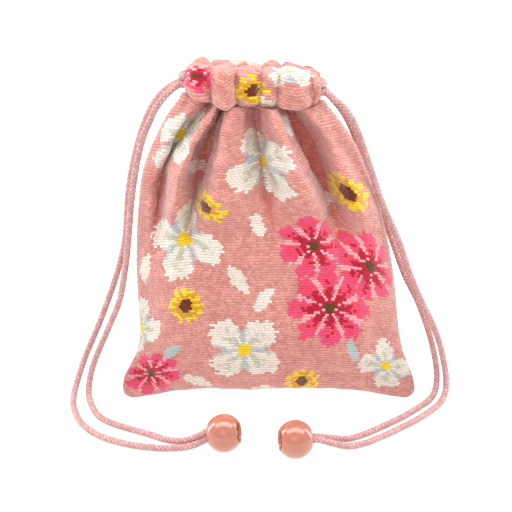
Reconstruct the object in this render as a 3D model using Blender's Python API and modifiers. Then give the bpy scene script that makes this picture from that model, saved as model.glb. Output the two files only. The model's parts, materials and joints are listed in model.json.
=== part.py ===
"""Drawstring pouch of chenille cloth that stands on its two bottom corners and its back belly.

Two cloth panels meet on one leaning seam plane. Each carries a gathered tunnel at its neck, and two
drawcords run through both tunnels, hang down the sides and end in two drilled beads.
X is to the right, Y is away from the front, Z is up, and the surface that it stands on is Z = 0.
"""

import math

import bmesh
import bpy
from mathutils import Matrix, Vector

# Driving sizes in metres
BAG_WIDTH = 0.167
NECK_HEIGHT = 0.171
FRONT_DEPTH = 0.0265
BACK_DEPTH = 0.0305
CLOTH = 0.0018
SEAM_FOOT_Y = -0.0039
SEAM_NECK_Y = 0.0016
FRONT_FOLD = 0.0105
BACK_FOLD = 0.0085

NECK_X = -0.009
TUNNEL_LENGTH = 0.070
TUNNEL_HEIGHT = 0.0208
TUNNEL_DEPTH = 0.0124
TUNNEL_FROM_SEAM = 0.0105
TUNNEL_SLOPE = 0.0020
TUNNEL_END_DROP = 0.0031
TUNNEL_END_TUCK = 0.0022
BACK_TUNNEL_DROP = 0.0012
RIPPLE = 0.0021
CREST_DIP = 0.0026
DROOP = 0.0036

CORD_DIAMETER = 0.0035
CORD_SPACING = 0.0042
STRAND_START = 0.0030
END_STUB = 0.12

BEAD_DIAMETER = 0.020
BEAD_BORE = 0.0080
BEAD_MOUTH = 0.0106
BEAD_FLAT = 0.40
BEAD_SEAT = 0.0010
KNOT_DIAMETER = 0.0094
KNOT_LENGTH = 0.0056

# Clearance between pieces that touch
GAP = 0.0003

# Which way a panel or a tunnel faces along Y
FRONT = -1.0
BACK = 1.0

# Rows of the panels from the bottom seam to the neck. Heights are shares of NECK_HEIGHT, the two edges are
# shares of half BAG_WIDTH, and the depths are shares of FRONT_DEPTH or BACK_DEPTH.
# edge height, left edge, right edge, front height, front depth, back height, back depth, squareness, fullness
ROWS = (
    (0.000, -0.945, 0.945, 0.050, 0.00, 0.050, 0.00, 2.4, 1.60),
    (0.012, -0.986, 0.986, 0.058, 0.20, 0.036, 0.10, 2.4, 1.52),
    (0.038, -1.000, 1.000, 0.078, 0.40, 0.000, 0.43, 2.4, 1.40),
    (0.079, -0.985, 0.982, 0.124, 0.64, 0.000, 0.70, 2.3, 1.20),
    (0.122, -0.940, 0.946, 0.185, 0.82, 0.028, 0.87, 2.3, 1.03),
    (0.174, -0.890, 0.906, 0.254, 0.93, 0.068, 0.93, 2.3, 0.90),
    (0.236, -0.868, 0.878, 0.322, 0.985, 0.125, 0.965, 2.3, 0.78),
    (0.306, -0.870, 0.858, 0.392, 1.00, 0.190, 0.99, 2.3, 0.70),
    (0.386, -0.875, 0.838, 0.468, 0.99, 0.305, 1.00, 2.3, 0.66),
    (0.468, -0.876, 0.812, 0.543, 0.965, 0.420, 0.95, 2.3, 0.64),
    (0.548, -0.870, 0.780, 0.614, 0.92, 0.525, 0.88, 2.3, 0.62),
    (0.622, -0.860, 0.742, 0.678, 0.865, 0.612, 0.81, 2.3, 0.62),
    (0.692, -0.845, 0.702, 0.737, 0.795, 0.692, 0.73, 2.4, 0.61),
    (0.754, -0.828, 0.655, 0.789, 0.72, 0.760, 0.65, 2.5, 0.60),
    (0.808, -0.798, 0.606, 0.836, 0.645, 0.820, 0.58, 2.6, 0.59),
    (0.858, -0.758, 0.560, 0.878, 0.575, 0.872, 0.51, 2.8, 0.58),
    (0.903, -0.706, 0.500, 0.915, 0.505, 0.916, 0.445, 3.0, 0.56),
    (0.943, -0.648, 0.436, 0.949, 0.44, 0.952, 0.385, 3.3, 0.54),
    (0.976, -0.582, 0.376, 0.978, 0.385, 0.980, 0.335, 3.7, 0.52),
    (1.000, -0.552, 0.340, 1.000, 0.355, 1.000, 0.310, 4.0, 0.50),
)

# Gathered folds under the neck, as shares of the half width from its middle, and a share of the fold depth.
# at the neck, high shoulder, low shoulder, chest, belly, depth
FRONT_FOLDS = (
    (-0.56, -0.66, -0.80, -0.84, -0.84, 0.72),
    (-0.33, -0.38, -0.43, -0.51, -0.58, 0.95),
    (0.04, 0.05, 0.07, 0.09, 0.11, 0.78),
    (0.40, 0.43, 0.47, 0.52, 0.59, 1.00),
)
BACK_FOLDS = (
    (-0.66, -0.70, -0.76, -0.80, -0.82, 0.80),
    (-0.20, -0.22, -0.26, -0.30, -0.34, 1.00),
    (0.20, 0.21, 0.23, 0.27, 0.32, 0.85),
    (0.66, 0.69, 0.74, 0.78, 0.80, 0.90),
)
# Where the columns of the fold tables lie, and how deep a fold is there, as shares of NECK_HEIGHT and depth
FOLD_HEIGHTS = (1.00, 0.935, 0.87, 0.79, 0.66)
FOLD_PROFILE = (
    (0.44, 0.00),
    (0.55, 0.08),
    (0.66, 0.30),
    (0.75, 0.64),
    (0.83, 0.94),
    (0.89, 1.00),
    (0.94, 0.82),
    (1.00, 0.40),
)

# Grooves of the gathered tunnels, as shares of half TUNNEL_LENGTH from its middle, with shares of RIPPLE for
# the pleat after each groove, of CREST_DIP at the groove, and of DROOP under that pleat.
# place, pleat, dip, droop
FRONT_GROOVES = (
    (-1.00, 0.70, 0.00, 0.00),
    (-0.74, 1.00, 0.50, 0.10),
    (-0.41, 1.15, 1.00, 1.00),
    (-0.20, 0.80, 0.55, 0.15),
    (0.13, 0.75, 0.80, 0.00),
    (0.37, 1.00, 0.45, 0.20),
    (0.82, 0.50, 0.40, 0.00),
    (1.00, 0.00, 0.00, 0.00),
)
BACK_GROOVES = (
    (-1.00, 0.80, 0.00, 0.00),
    (-0.62, 1.00, 0.70, 0.10),
    (-0.28, 0.90, 0.50, 0.00),
    (0.06, 1.00, 0.90, 0.20),
    (0.44, 0.80, 0.60, 0.00),
    (0.76, 0.60, 0.50, 0.00),
    (1.00, 0.00, 0.00, 0.00),
)

# Beads: middle x and y, and the turn about Z and the rise of the bore towards its free end, in degrees
BEADS = {
    "left": (-0.0240, -0.0640, -10.0, 9.0),
    "right": (0.0130, -0.0705, 190.0, 2.0),
}
# Turn of the two strands about the bore, in degrees, the front strand first
STRANDS_IN_BEAD = {"left": (70.0, 250.0), "right": (5.0, 185.0)}

# Hand-chosen routes of the free strands, from beside the tunnel's end to in front of the bead, in metres
ROUTES = {
    "left_front": (
        (-0.0535, -0.0112, 0.1775),
        (-0.0590, -0.0108, 0.1705),
        (-0.0630, -0.0100, 0.1625),
        (-0.0664, -0.0092, 0.1545),
        (-0.0693, -0.0084, 0.1448),
        (-0.0719, -0.0076, 0.1325),
        (-0.0742, -0.0069, 0.1188),
        (-0.0767, -0.0062, 0.0968),
        (-0.0793, -0.0056, 0.0788),
        (-0.0831, -0.0050, 0.0607),
        (-0.0905, -0.0036, 0.0426),
        (-0.0970, -0.0023, 0.0277),
        (-0.1002, -0.0018, 0.0194),
        (-0.1022, -0.0023, 0.0120),
        (-0.1029, -0.0044, 0.0068),
        (-0.1026, -0.0080, 0.0036),
        (-0.1012, -0.0128, 0.0021),
        (-0.0987, -0.0202, 0.0019),
        (-0.0947, -0.0291, 0.0019),
        (-0.0885, -0.0364, 0.0019),
        (-0.0780, -0.0432, 0.0019),
        (-0.0647, -0.0505, 0.0019),
        (-0.0535, -0.0575, 0.0029),
        (-0.0440, -0.0610, 0.0060),
    ),
    "left_back": (
        (-0.0530, 0.0106, 0.1775),
        (-0.0590, 0.0110, 0.1722),
        (-0.0637, 0.0109, 0.1655),
        (-0.0673, 0.0106, 0.1578),
        (-0.0704, 0.0102, 0.1495),
        (-0.0734, 0.0097, 0.1390),
        (-0.0759, 0.0092, 0.1280),
        (-0.0780, 0.0087, 0.1140),
        (-0.0802, 0.0081, 0.0921),
        (-0.0848, 0.0075, 0.0740),
        (-0.0911, 0.0067, 0.0560),
        (-0.0981, 0.0056, 0.0386),
        (-0.1042, 0.0038, 0.0249),
        (-0.1081, 0.0010, 0.0146),
        (-0.1103, -0.0032, 0.0075),
        (-0.1111, -0.0086, 0.0035),
        (-0.1103, -0.0165, 0.0020),
        (-0.1073, -0.0270, 0.0019),
        (-0.1024, -0.0385, 0.0019),
        (-0.0912, -0.0520, 0.0019),
        (-0.0768, -0.0605, 0.0019),
        (-0.0633, -0.0645, 0.0019),
        (-0.0525, -0.0655, 0.0021),
        (-0.0425, -0.0645, 0.0035),
    ),
    "right_front": (
        (0.0338, -0.0112, 0.1742),
        (0.0385, -0.0110, 0.1700),
        (0.0424, -0.0104, 0.1645),
        (0.0458, -0.0094, 0.1575),
        (0.0493, -0.0084, 0.1485),
        (0.0533, -0.0076, 0.1375),
        (0.0580, -0.0070, 0.1240),
        (0.0633, -0.0066, 0.1110),
        (0.0690, -0.0063, 0.0990),
        (0.0736, -0.0061, 0.0869),
        (0.0775, -0.0059, 0.0761),
        (0.0842, -0.0055, 0.0609),
        (0.0912, -0.0045, 0.0469),
        (0.0962, -0.0031, 0.0343),
        (0.0994, -0.0021, 0.0226),
        (0.1012, -0.0024, 0.0139),
        (0.1014, -0.0046, 0.0079),
        (0.1002, -0.0082, 0.0041),
        (0.0976, -0.0130, 0.0021),
        (0.0911, -0.0226, 0.0019),
        (0.0818, -0.0335, 0.0019),
        (0.0716, -0.0430, 0.0019),
        (0.0600, -0.0530, 0.0019),
        (0.0490, -0.0610, 0.0020),
        (0.0400, -0.0662, 0.0035),
    ),
    "right_back": (
        (0.0335, 0.0122, 0.1705),
        (0.0385, 0.0137, 0.1645),
        (0.0425, 0.0142, 0.1580),
        (0.0458, 0.0142, 0.1510),
        (0.0490, 0.0140, 0.1430),
        (0.0535, 0.0136, 0.1320),
        (0.0585, 0.0130, 0.1190),
        (0.0633, 0.0120, 0.1060),
        (0.0681, 0.0106, 0.0926),
        (0.0726, 0.0092, 0.0804),
        (0.0768, 0.0080, 0.0700),
        (0.0840, 0.0066, 0.0560),
        (0.0890, 0.0055, 0.0436),
        (0.0927, 0.0045, 0.0326),
        (0.0952, 0.0033, 0.0226),
        (0.0965, 0.0014, 0.0144),
        (0.0963, -0.0018, 0.0079),
        (0.0946, -0.0060, 0.0040),
        (0.0911, -0.0112, 0.0021),
        (0.0838, -0.0200, 0.0019),
        (0.0728, -0.0318, 0.0019),
        (0.0601, -0.0430, 0.0019),
        (0.0495, -0.0515, 0.0020),
        (0.0405, -0.0585, 0.0035),
    ),
}

FRONT_SEGMENTS = 6
BACK_SEGMENTS = 5
STATIONS_PER_PLEAT = 4
RING_POINTS = 14
BEAD_SIDES = 16


def remove_default_objects():
    for item in list(bpy.data.objects):
        bpy.data.objects.remove(item)


def make_collection(name):
    collection = bpy.data.collections.new(name)
    bpy.context.scene.collection.children.link(collection)
    return collection


def make_material(name, colour, roughness):
    material = bpy.data.materials.new(name)
    material.use_nodes = True
    shader = material.node_tree.nodes["Principled BSDF"]
    shader.inputs["Base Color"].default_value = (*colour, 1.0)
    shader.inputs["Roughness"].default_value = roughness
    shader.inputs["Metallic"].default_value = 0.0
    return material


def between(pairs, value):
    """Reads a table of (place, value) pairs, sorted by place, on straight lines."""
    if value <= pairs[0][0]:
        return pairs[0][1]
    for low, high in zip(pairs, pairs[1:]):
        if value <= high[0]:
            return low[1] + (high[1] - low[1]) * (value - low[0]) / (high[0] - low[0])
    return pairs[-1][1]


def ease(value):
    value = min(max(value, 0.0), 1.0)
    return value * value * (3.0 - 2.0 * value)


def seam_y(height):
    """The seam plane leans back by a straight line from the foot to the neck."""
    return SEAM_FOOT_Y + (SEAM_NECK_Y - SEAM_FOOT_Y) * height / NECK_HEIGHT


def tunnel_middle(share, side):
    """Middle of a tunnel's channel at a share of its half length from its middle."""
    x = NECK_X + share * TUNNEL_LENGTH / 2
    y = seam_y(NECK_HEIGHT) + side * (TUNNEL_FROM_SEAM - TUNNEL_END_TUCK * share**4)
    z = NECK_HEIGHT + GAP + TUNNEL_HEIGHT / 2 - TUNNEL_SLOPE * share
    if side == BACK:
        z -= BACK_TUNNEL_DROP
    return Vector((x, y, z))


def tunnel_half_height(share):
    return TUNNEL_HEIGHT / 2 - TUNNEL_END_DROP * share**6


def neck_edge(x, side):
    """Height of a panel's neck edge, just under its tunnel."""
    share = min(max((x - NECK_X) / (TUNNEL_LENGTH / 2), -1.0), 1.0)
    return tunnel_middle(share, side).z - tunnel_half_height(share) - GAP


def fold_depth(height):
    return between(FOLD_PROFILE, height)


def fold_place(fold, height):
    pairs = sorted(zip(FOLD_HEIGHTS, fold))
    return between(pairs, height)


def panel_columns(folds, height, segments):
    """Across one row: each column's share of the half width, with its push inwards as a share of depth."""
    places = [-1.0] + [fold_place(fold, height) for fold in folds] + [1.0]
    depths = [0.0] + [fold[-1] * fold_depth(height) for fold in folds] + [0.0]
    columns = []
    for index in range(len(places) - 1):
        left, right = depths[index], depths[index + 1]
        for step in range(segments):
            t = step / segments
            push = left * (1 - t) ** 2 + right * t**2 - 1.2 * (left + right) * t * (1 - t)
            columns.append((places[index] + (places[index + 1] - places[index]) * t, push))
    columns.append((1.0, 0.0))
    return columns


def panel_surface(side, folds, fold_size, segments):
    """Outer face of a panel as rows of points, from the bottom seam up to the neck edge."""
    height_column, depth_column, depth_size = (3, 4, FRONT_DEPTH) if side == FRONT else (5, 6, BACK_DEPTH)
    grid = []
    for index, row in enumerate(ROWS):
        edge_z, left, right = row[0:3]
        middle_z = row[height_column]
        depth = row[depth_column] * depth_size
        squareness, fullness = row[7:9]
        middle_x = (left + right) / 2 * BAG_WIDTH / 2
        half_x = (right - left) / 2 * BAG_WIDTH / 2
        line = []
        for share, push in panel_columns(folds, middle_z, segments):
            round_share = max(1.0 - abs(share) ** squareness, 0.0) ** fullness
            lift = min(1.0, 1.15 * round_share)
            z = (edge_z * (1 - lift) + middle_z * lift) * NECK_HEIGHT
            x = middle_x + share * half_x
            z += (neck_edge(x, side) - NECK_HEIGHT) * ease((z / NECK_HEIGHT - 0.86) / 0.14)
            plain = depth * round_share
            rise = CLOTH * min(index, 1) * max(1.0 - abs(share) ** 12, 0.0) ** 0.5
            offset = max(plain - push * fold_size, 0.42 * plain) + rise
            line.append(Vector((x, seam_y(z) + side * (GAP / 2 + offset), z)))
        grid.append(line)
    return grid


def inner_surface(outer, side):
    """The same grid one cloth thickness inside, which stops at the seam plane."""
    rows = len(outer)
    columns = len(outer[0])
    grid = []
    for i in range(rows):
        line = []
        for j in range(columns):
            up = outer[min(i + 1, rows - 1)][j] - outer[max(i - 1, 0)][j]
            across = outer[i][min(j + 1, columns - 1)] - outer[i][max(j - 1, 0)]
            inward = up.cross(across).normalized() * -side
            if i == 0:
                inward = Vector((0.0, 0.0, 1.0))
            if j == 0:
                inward = Vector((1.0, 0.0, 1.0 if i == 0 else 0.0)).normalized()
            if j == columns - 1:
                inward = Vector((-1.0, 0.0, 1.0 if i == 0 else 0.0)).normalized()
            point = outer[i][j] + inward * CLOTH
            if i == rows - 1:
                point.z = min(outer[i][j].z, neck_edge(point.x, side))
            stop = seam_y(point.z) + side * GAP / 2
            on_seam = i == 0 or j == 0 or j == columns - 1
            if on_seam or (point.y - stop) * side < 0.0:
                point.y = stop
            line.append(point)
        grid.append(line)
    return grid


def closed_wall(name, outer, inner, ring):
    """Joins two equal grids into one closed wall. A ring's columns go round, and its rows end open.

    The left and right halves are split along mirrored diagonals, which keeps both bottom corners full.
    """
    mesh = bpy.data.meshes.new(name)
    work = bmesh.new()
    rows = len(outer)
    columns = len(outer[0])
    skins = [[[work.verts.new(point) for point in line] for line in grid] for grid in (outer, inner)]
    spans = columns if ring else columns - 1
    for skin in skins:
        for i in range(rows - 1):
            for j in range(spans):
                k = (j + 1) % columns
                a, b, c, d = skin[i][j], skin[i][k], skin[i + 1][k], skin[i + 1][j]
                rises_right = j < spans / 2
                work.faces.new((a, b, c) if rises_right else (a, b, d))
                work.faces.new((a, c, d) if rises_right else (b, c, d))
    for i in (0, rows - 1):
        for j in range(spans):
            k = (j + 1) % columns
            work.faces.new((skins[0][i][j], skins[0][i][k], skins[1][i][k], skins[1][i][j]))
    if not ring:
        for j in (0, columns - 1):
            for i in range(rows - 1):
                work.faces.new((skins[0][i][j], skins[0][i + 1][j], skins[1][i + 1][j], skins[1][i][j]))
    bmesh.ops.recalc_face_normals(work, faces=work.faces)
    if work.calc_volume(signed=True) < 0:
        bmesh.ops.reverse_faces(work, faces=work.faces)
    work.to_mesh(mesh)
    work.free()
    return mesh


def add_object(name, mesh, material, collection):
    item = bpy.data.objects.new(name, mesh)
    mesh.materials.append(material)
    mesh.shade_smooth()
    mesh.set_sharp_from_angle(angle=math.radians(50))
    collection.objects.link(item)
    return item


def add_panel(name, side, folds, fold_size, segments, material, collection):
    outer = panel_surface(side, folds, fold_size, segments)
    inner = inner_surface(outer, side)
    return add_object(name, closed_wall(name, outer, inner, ring=False), material, collection)


def tunnel_stations(grooves, per_pleat):
    """Along a tunnel: share of the half length, swell of the pleat, dip of the crest and droop under it."""
    stations = []
    for left, right in zip(grooves, grooves[1:]):
        for step in range(per_pleat):
            t = step / per_pleat
            swell = left[1] * math.sin(math.pi * t) ** 0.8
            dip = left[2] * (1 - t) ** 2 + right[2] * t**2
            droop = left[3] * math.sin(math.pi * t)
            stations.append((left[0] + (right[0] - left[0]) * t, swell, dip, droop))
    stations.append((1.0, 0.0, 0.0, 0.0))
    return stations


def tunnel_surface(side, grooves, per_pleat, points, wall):
    """Rings of a tunnel, one cloth thickness in where a wall is given."""
    grid = []
    for share, swell, dip, droop in tunnel_stations(grooves, per_pleat):
        middle = tunnel_middle(share, side)
        half_z = tunnel_half_height(share) - wall
        half_y = TUNNEL_DEPTH / 2 - TUNNEL_END_TUCK * 0.5 * share**6 - wall
        ring = []
        for index in range(points):
            angle = 2 * math.pi * (index + 0.5) / points
            out, up = math.cos(angle), math.sin(angle)
            y = math.copysign(abs(out) ** 0.5, out) * half_y
            z = math.copysign(abs(up) ** 0.5, up) * half_z
            y += RIPPLE * swell * (max(out, 0.0) + 0.3 * min(out, 0.0))
            z -= CREST_DIP * dip * max(up, 0.0)
            low_corner = 4 * max(out, 0.0) ** 4 * max(-up, 0.0)
            y += DROOP / 2 * droop * low_corner
            z -= DROOP * droop * low_corner
            ring.append(middle + Vector((0.0, side * y, z)))
        grid.append(ring)
    return grid


def add_tunnel(name, side, grooves, material, collection):
    outer = tunnel_surface(side, grooves, STATIONS_PER_PLEAT, RING_POINTS, 0.0)
    inner = tunnel_surface(side, grooves, STATIONS_PER_PLEAT, RING_POINTS, CLOTH)
    return add_object(name, closed_wall(name, outer, inner, ring=True), material, collection)


def smooth_route(points, step):
    """Points a step apart on a centripetal Catmull-Rom curve through the route's own points.

    A short stub at each end keeps the cut face square to the cord.
    """
    ends = [points[0] * 2 - points[1], *points, points[-1] * 2 - points[-2]]
    fine = []
    for a, b, c, d in zip(ends, ends[1:], ends[2:], ends[3:]):
        t1 = (b - a).length ** 0.5
        t2 = t1 + (c - b).length ** 0.5
        t3 = t2 + (d - c).length ** 0.5
        for count in range(12):
            t = t1 + (t2 - t1) * count / 12
            ab = a * ((t1 - t) / t1) + b * (t / t1)
            bc = b * ((t2 - t) / (t2 - t1)) + c * ((t - t1) / (t2 - t1))
            cd = c * ((t3 - t) / (t3 - t2)) + d * ((t - t2) / (t3 - t2))
            low = ab * ((t2 - t) / t2) + bc * (t / t2)
            high = bc * ((t3 - t) / (t3 - t1)) + cd * ((t - t1) / (t3 - t1))
            fine.append(low * ((t2 - t) / (t2 - t1)) + high * ((t - t1) / (t2 - t1)))
    fine.append(points[-1])
    lengths = [0.0]
    for a, b in zip(fine, fine[1:]):
        lengths.append(lengths[-1] + (b - a).length)
    count = max(round(lengths[-1] / step), 1)
    stub = step * END_STUB
    goals = [lengths[-1] * number / count for number in range(count + 1)]
    goals[1:1] = [stub]
    goals[-1:-1] = [lengths[-1] - stub]
    even = []
    index = 0
    for goal in goals:
        while index < len(fine) - 2 and lengths[index + 1] < goal:
            index += 1
        part = (goal - lengths[index]) / (lengths[index + 1] - lengths[index])
        even.append(fine[index].lerp(fine[index + 1], part))
    return even


def cord_in_tunnel(share, side, cord_end):
    """Middle of a cord inside a tunnel: low at its own end and high at the far one, turned past the other."""
    turn = math.pi / 2 * share * -cord_end
    along = Vector((0.0, cord_end * side * math.cos(turn), math.sin(turn)))
    return tunnel_middle(share, side) + along * CORD_SPACING / 2


def loop_end(side, cord_end):
    """Where a hidden loop ends inside its own end of a tunnel, and the way out from there."""
    share = cord_end * (1.0 - STRAND_START / (TUNNEL_LENGTH / 2))
    inside = cord_in_tunnel(share, side, cord_end)
    return inside, (cord_in_tunnel(cord_end, side, cord_end) - inside).normalized()


def loop_route(cord_end):
    """A cord's hidden hairpin: through the front tunnel, round the far end and back through the other."""
    start = 1.0 - STRAND_START / (TUNNEL_LENGTH / 2)
    shares = [cord_end * (start - (start + 1.0) * step / 10) for step in range(1, 11)]
    runs = []
    for side in (FRONT, BACK):
        inside, out = loop_end(side, cord_end)
        stub = [inside, inside - out * CORD_DIAMETER * 0.7]
        runs.append(stub + [cord_in_tunnel(share, side, cord_end) for share in shares])
    front, back = runs
    middle = (front[-1] + back[-1]) / 2
    half = (back[-1] - front[-1]) / 2
    bend = []
    for step in range(1, 6):
        angle = math.pi * step / 6
        out = Vector((-cord_end * half.y * math.sin(angle), 0.0, 0.0))
        bend.append(middle - half * math.cos(angle) + out)
    return front + bend + back[::-1]


def strand_start(side, cord_end):
    """Where a strand meets its hidden loop inside the tunnel, and where it leaves the tunnel."""
    inside, out = loop_end(side, cord_end)
    return [inside + out * GAP, inside + out * STRAND_START, inside + out * STRAND_START * 2]


def bead_frame(name):
    """World matrix of a bead: its bore is the local Z axis, and the free end points up it."""
    x, y, turn, rise = BEADS[name]
    place = Matrix.Translation((x, y, BEAD_DIAMETER / 2))
    aim = Matrix.Rotation(math.radians(turn), 4, "Z") @ Matrix.Rotation(math.radians(90.0 - rise), 4, "Y")
    return place @ aim


def strand_end(name, index):
    """Last points of a strand, through the bead's bore to just short of the knot."""
    frame = bead_frame(name)
    turn = math.radians(STRANDS_IN_BEAD[name][index])
    off = CORD_SPACING / 2 * 0.9
    points = []
    for along in (-BEAD_DIAMETER * 0.58, -BEAD_DIAMETER * BEAD_FLAT, BEAD_SEAT - GAP):
        points.append(frame @ Vector((-math.sin(turn) * off, math.cos(turn) * off, along)))
    return points


def add_cord(name, points, material, collection):
    """A round cord as a bevelled curve through evenly spaced points."""
    route = smooth_route(points, CORD_DIAMETER * 2.5)
    curve = bpy.data.curves.new(name, "CURVE")
    curve.dimensions = "3D"
    curve.bevel_depth = CORD_DIAMETER / 2
    curve.bevel_resolution = 2
    curve.use_fill_caps = True
    curve.materials.append(material)
    spline = curve.splines.new("POLY")
    spline.points.add(len(route) - 1)
    for point, place in zip(spline.points, route):
        point.co = (*place, 1.0)
    item = bpy.data.objects.new(name, curve)
    collection.objects.link(item)
    return item


def add_bead(name, bead, material, collection):
    """A drilled ball turned from its profile, with flat ends and a wide mouth at the free end."""
    radius = BEAD_DIAMETER / 2
    flat = BEAD_DIAMETER * BEAD_FLAT
    top = math.asin(flat / radius)
    profile = [(BEAD_MOUTH / 2, flat)]
    for step in range(9):
        angle = top - 2 * top * step / 8
        profile.append((radius * math.cos(angle), radius * math.sin(angle)))
    profile.append((BEAD_BORE / 2, -flat))
    profile.append((BEAD_BORE / 2, BEAD_SEAT))
    profile.append((BEAD_MOUTH / 2, BEAD_SEAT))
    mesh = bpy.data.meshes.new(name)
    work = bmesh.new()
    points = [work.verts.new((x, 0.0, z)) for x, z in profile]
    for index, point in enumerate(points):
        work.edges.new((point, points[(index + 1) % len(points)]))
    work.to_mesh(mesh)
    work.free()
    item = add_object(name, mesh, material, collection)
    screw = item.modifiers.new("turned", "SCREW")
    screw.steps = BEAD_SIDES
    screw.render_steps = BEAD_SIDES
    screw.use_merge_vertices = True
    screw.merge_threshold = 0.00001
    item.matrix_world = bead_frame(bead)
    return item


def add_knot(name, bead, material, collection):
    """A plain knob for the knot that both strands end in, seated in the bead's mouth."""
    mesh = bpy.data.meshes.new(name)
    work = bmesh.new()
    bmesh.ops.create_uvsphere(work, u_segments=12, v_segments=6, radius=0.5)
    bmesh.ops.scale(work, vec=(KNOT_DIAMETER, KNOT_DIAMETER, KNOT_LENGTH), verts=work.verts)
    work.to_mesh(mesh)
    work.free()
    item = add_object(name, mesh, material, collection)
    seat = BEAD_SEAT + GAP + KNOT_LENGTH / 2
    item.matrix_world = bead_frame(bead) @ Matrix.Translation((0.0, 0.0, seat))
    return item


def main():
    remove_default_objects()
    pouch = make_collection("drawstring_pouch")
    cloth = make_material("chenille_cloth", (0.71, 0.29, 0.26), 0.95)
    cord = make_material("braided_cord", (0.80, 0.46, 0.44), 0.80)
    resin = make_material("bead_resin", (0.70, 0.22, 0.16), 0.25)
    add_panel("front_panel", FRONT, FRONT_FOLDS, FRONT_FOLD, FRONT_SEGMENTS, cloth, pouch)
    add_panel("back_panel", BACK, BACK_FOLDS, BACK_FOLD, BACK_SEGMENTS, cloth, pouch)
    add_tunnel("front_casing", FRONT, FRONT_GROOVES, cloth, pouch)
    add_tunnel("back_casing", BACK, BACK_GROOVES, cloth, pouch)
    for name, cord_end in (("left", -1.0), ("right", 1.0)):
        add_cord(f"cord_{name}_loop", loop_route(cord_end), cord, pouch)
        for index, (end, side) in enumerate((("front", FRONT), ("back", BACK))):
            middle = [Vector(point) for point in ROUTES[f"{name}_{end}"]]
            route = strand_start(side, cord_end) + middle + strand_end(name, index)
            add_cord(f"cord_{name}_{end}", route, cord, pouch)
        add_bead(f"bead_{name}", name, resin, pouch)
        add_knot(f"knot_{name}", name, cord, pouch)


main()
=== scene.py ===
import json
import math

import bmesh
import bpy
import numpy as np
from mathutils import Matrix, Vector

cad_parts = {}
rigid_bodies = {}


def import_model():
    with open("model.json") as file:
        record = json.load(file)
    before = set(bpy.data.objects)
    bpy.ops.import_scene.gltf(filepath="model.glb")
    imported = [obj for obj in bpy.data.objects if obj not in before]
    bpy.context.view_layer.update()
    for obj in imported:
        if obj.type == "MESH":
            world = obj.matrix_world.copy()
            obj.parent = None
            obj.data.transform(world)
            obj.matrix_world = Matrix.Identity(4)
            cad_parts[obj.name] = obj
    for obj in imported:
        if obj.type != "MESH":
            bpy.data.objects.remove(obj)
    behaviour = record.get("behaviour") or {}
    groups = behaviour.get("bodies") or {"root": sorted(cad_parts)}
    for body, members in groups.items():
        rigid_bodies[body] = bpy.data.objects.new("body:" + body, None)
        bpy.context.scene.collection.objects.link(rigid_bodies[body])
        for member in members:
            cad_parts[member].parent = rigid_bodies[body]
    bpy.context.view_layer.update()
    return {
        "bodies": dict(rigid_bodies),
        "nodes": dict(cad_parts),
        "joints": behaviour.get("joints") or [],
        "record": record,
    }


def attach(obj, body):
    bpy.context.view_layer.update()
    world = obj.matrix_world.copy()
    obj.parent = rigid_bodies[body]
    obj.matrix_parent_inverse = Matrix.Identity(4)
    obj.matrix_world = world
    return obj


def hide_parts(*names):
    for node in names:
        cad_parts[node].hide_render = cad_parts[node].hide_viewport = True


# Driving sizes in metres. They follow the part's own, with deeper folds for the cloth
BAG_WIDTH = 0.167
NECK_HEIGHT = 0.171
FRONT_DEPTH = 0.0265
BACK_DEPTH = 0.0305
CLOTH = 0.0018
SEAM_FOOT_Y = -0.0039
SEAM_NECK_Y = 0.0016
FRONT_FOLD = 0.0140
BACK_FOLD = 0.0105

NECK_X = -0.009
TUNNEL_LENGTH = 0.070
TUNNEL_HEIGHT = 0.0208
TUNNEL_DEPTH = 0.0124
TUNNEL_FROM_SEAM = 0.0105
TUNNEL_SLOPE = 0.0020
TUNNEL_END_DROP = 0.0031
TUNNEL_END_TUCK = 0.0022
BACK_TUNNEL_DROP = 0.0012
RIPPLE = 0.0040
CREST_DIP = 0.0026
DROOP = 0.0036
FOOT_TUCK = 0.0062

CORD_DIAMETER = 0.0035
CORD_SPACING = 0.0042
STRAND_START = 0.0030

BEAD_DIAMETER = 0.020
BEAD_BORE = 0.0080
BEAD_MOUTH = 0.0106
BEAD_FLAT = 0.40
BEAD_SEAT = 0.0010
KNOT_LENGTH = 0.0056
KNOT_CORD = 0.0026
GAP = 0.0003

FRONT = -1.0
BACK = 1.0

# The chenille: its flat width, one stitch, one row, and how far the pile stands up
FLAT_WIDTH = 0.170
FLAT_HEIGHT = 0.187
STITCHES = 95
STITCH = FLAT_WIDTH / STITCHES
ROW = 0.0016
PANEL_ROWS = 117
HEM_ROWS = 38
HEM_STITCHES = 40
PILE = 0.00040

# Mesh points to a row and to a stitch, and how many of them one step of the inner walls spans
ROW_POINTS = 4
STITCH_POINTS = 2
PANEL_SPAN = (12, 5)
HEM_SPAN = (8, 4)

# Steps of the shapes before they are respaced: along and round a tunnel, from row to row and from fold to
# fold of a panel, from point to point of a route, along a hairpin and round its bend
RING_STATIONS = 240
RING_POINTS = 400
ROW_STEPS = 14
FOLD_STEPS = 44
ROUTE_STEPS = 12
HAIRPIN_STEPS = 10
BEND_STEPS = 6

# Unevenness of the cloth: height and size of each, and the count of waves it is made from. Then how much
# and how widely the gathers wander, the height where they end, the height over which they start, and how
# near to the edges of the cloth all of it fades out
GATHERS = (0.00075, 0.0115)
LUMPS = (0.00100, 0.034)
SMALL_LUMPS = (0.00040, 0.014)
HEM_LUMPS = (0.00075, 0.010)
WAVES = 9
GATHERS_WANDER = (0.35, 0.09)
GATHERS_FOOT = 0.62
GATHERS_START = 0.25
SIDE_FADE = 0.012
FOOT_FADE = 0.008
NECK_FADE = 0.02
HEM_FADE = 0.006

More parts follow.
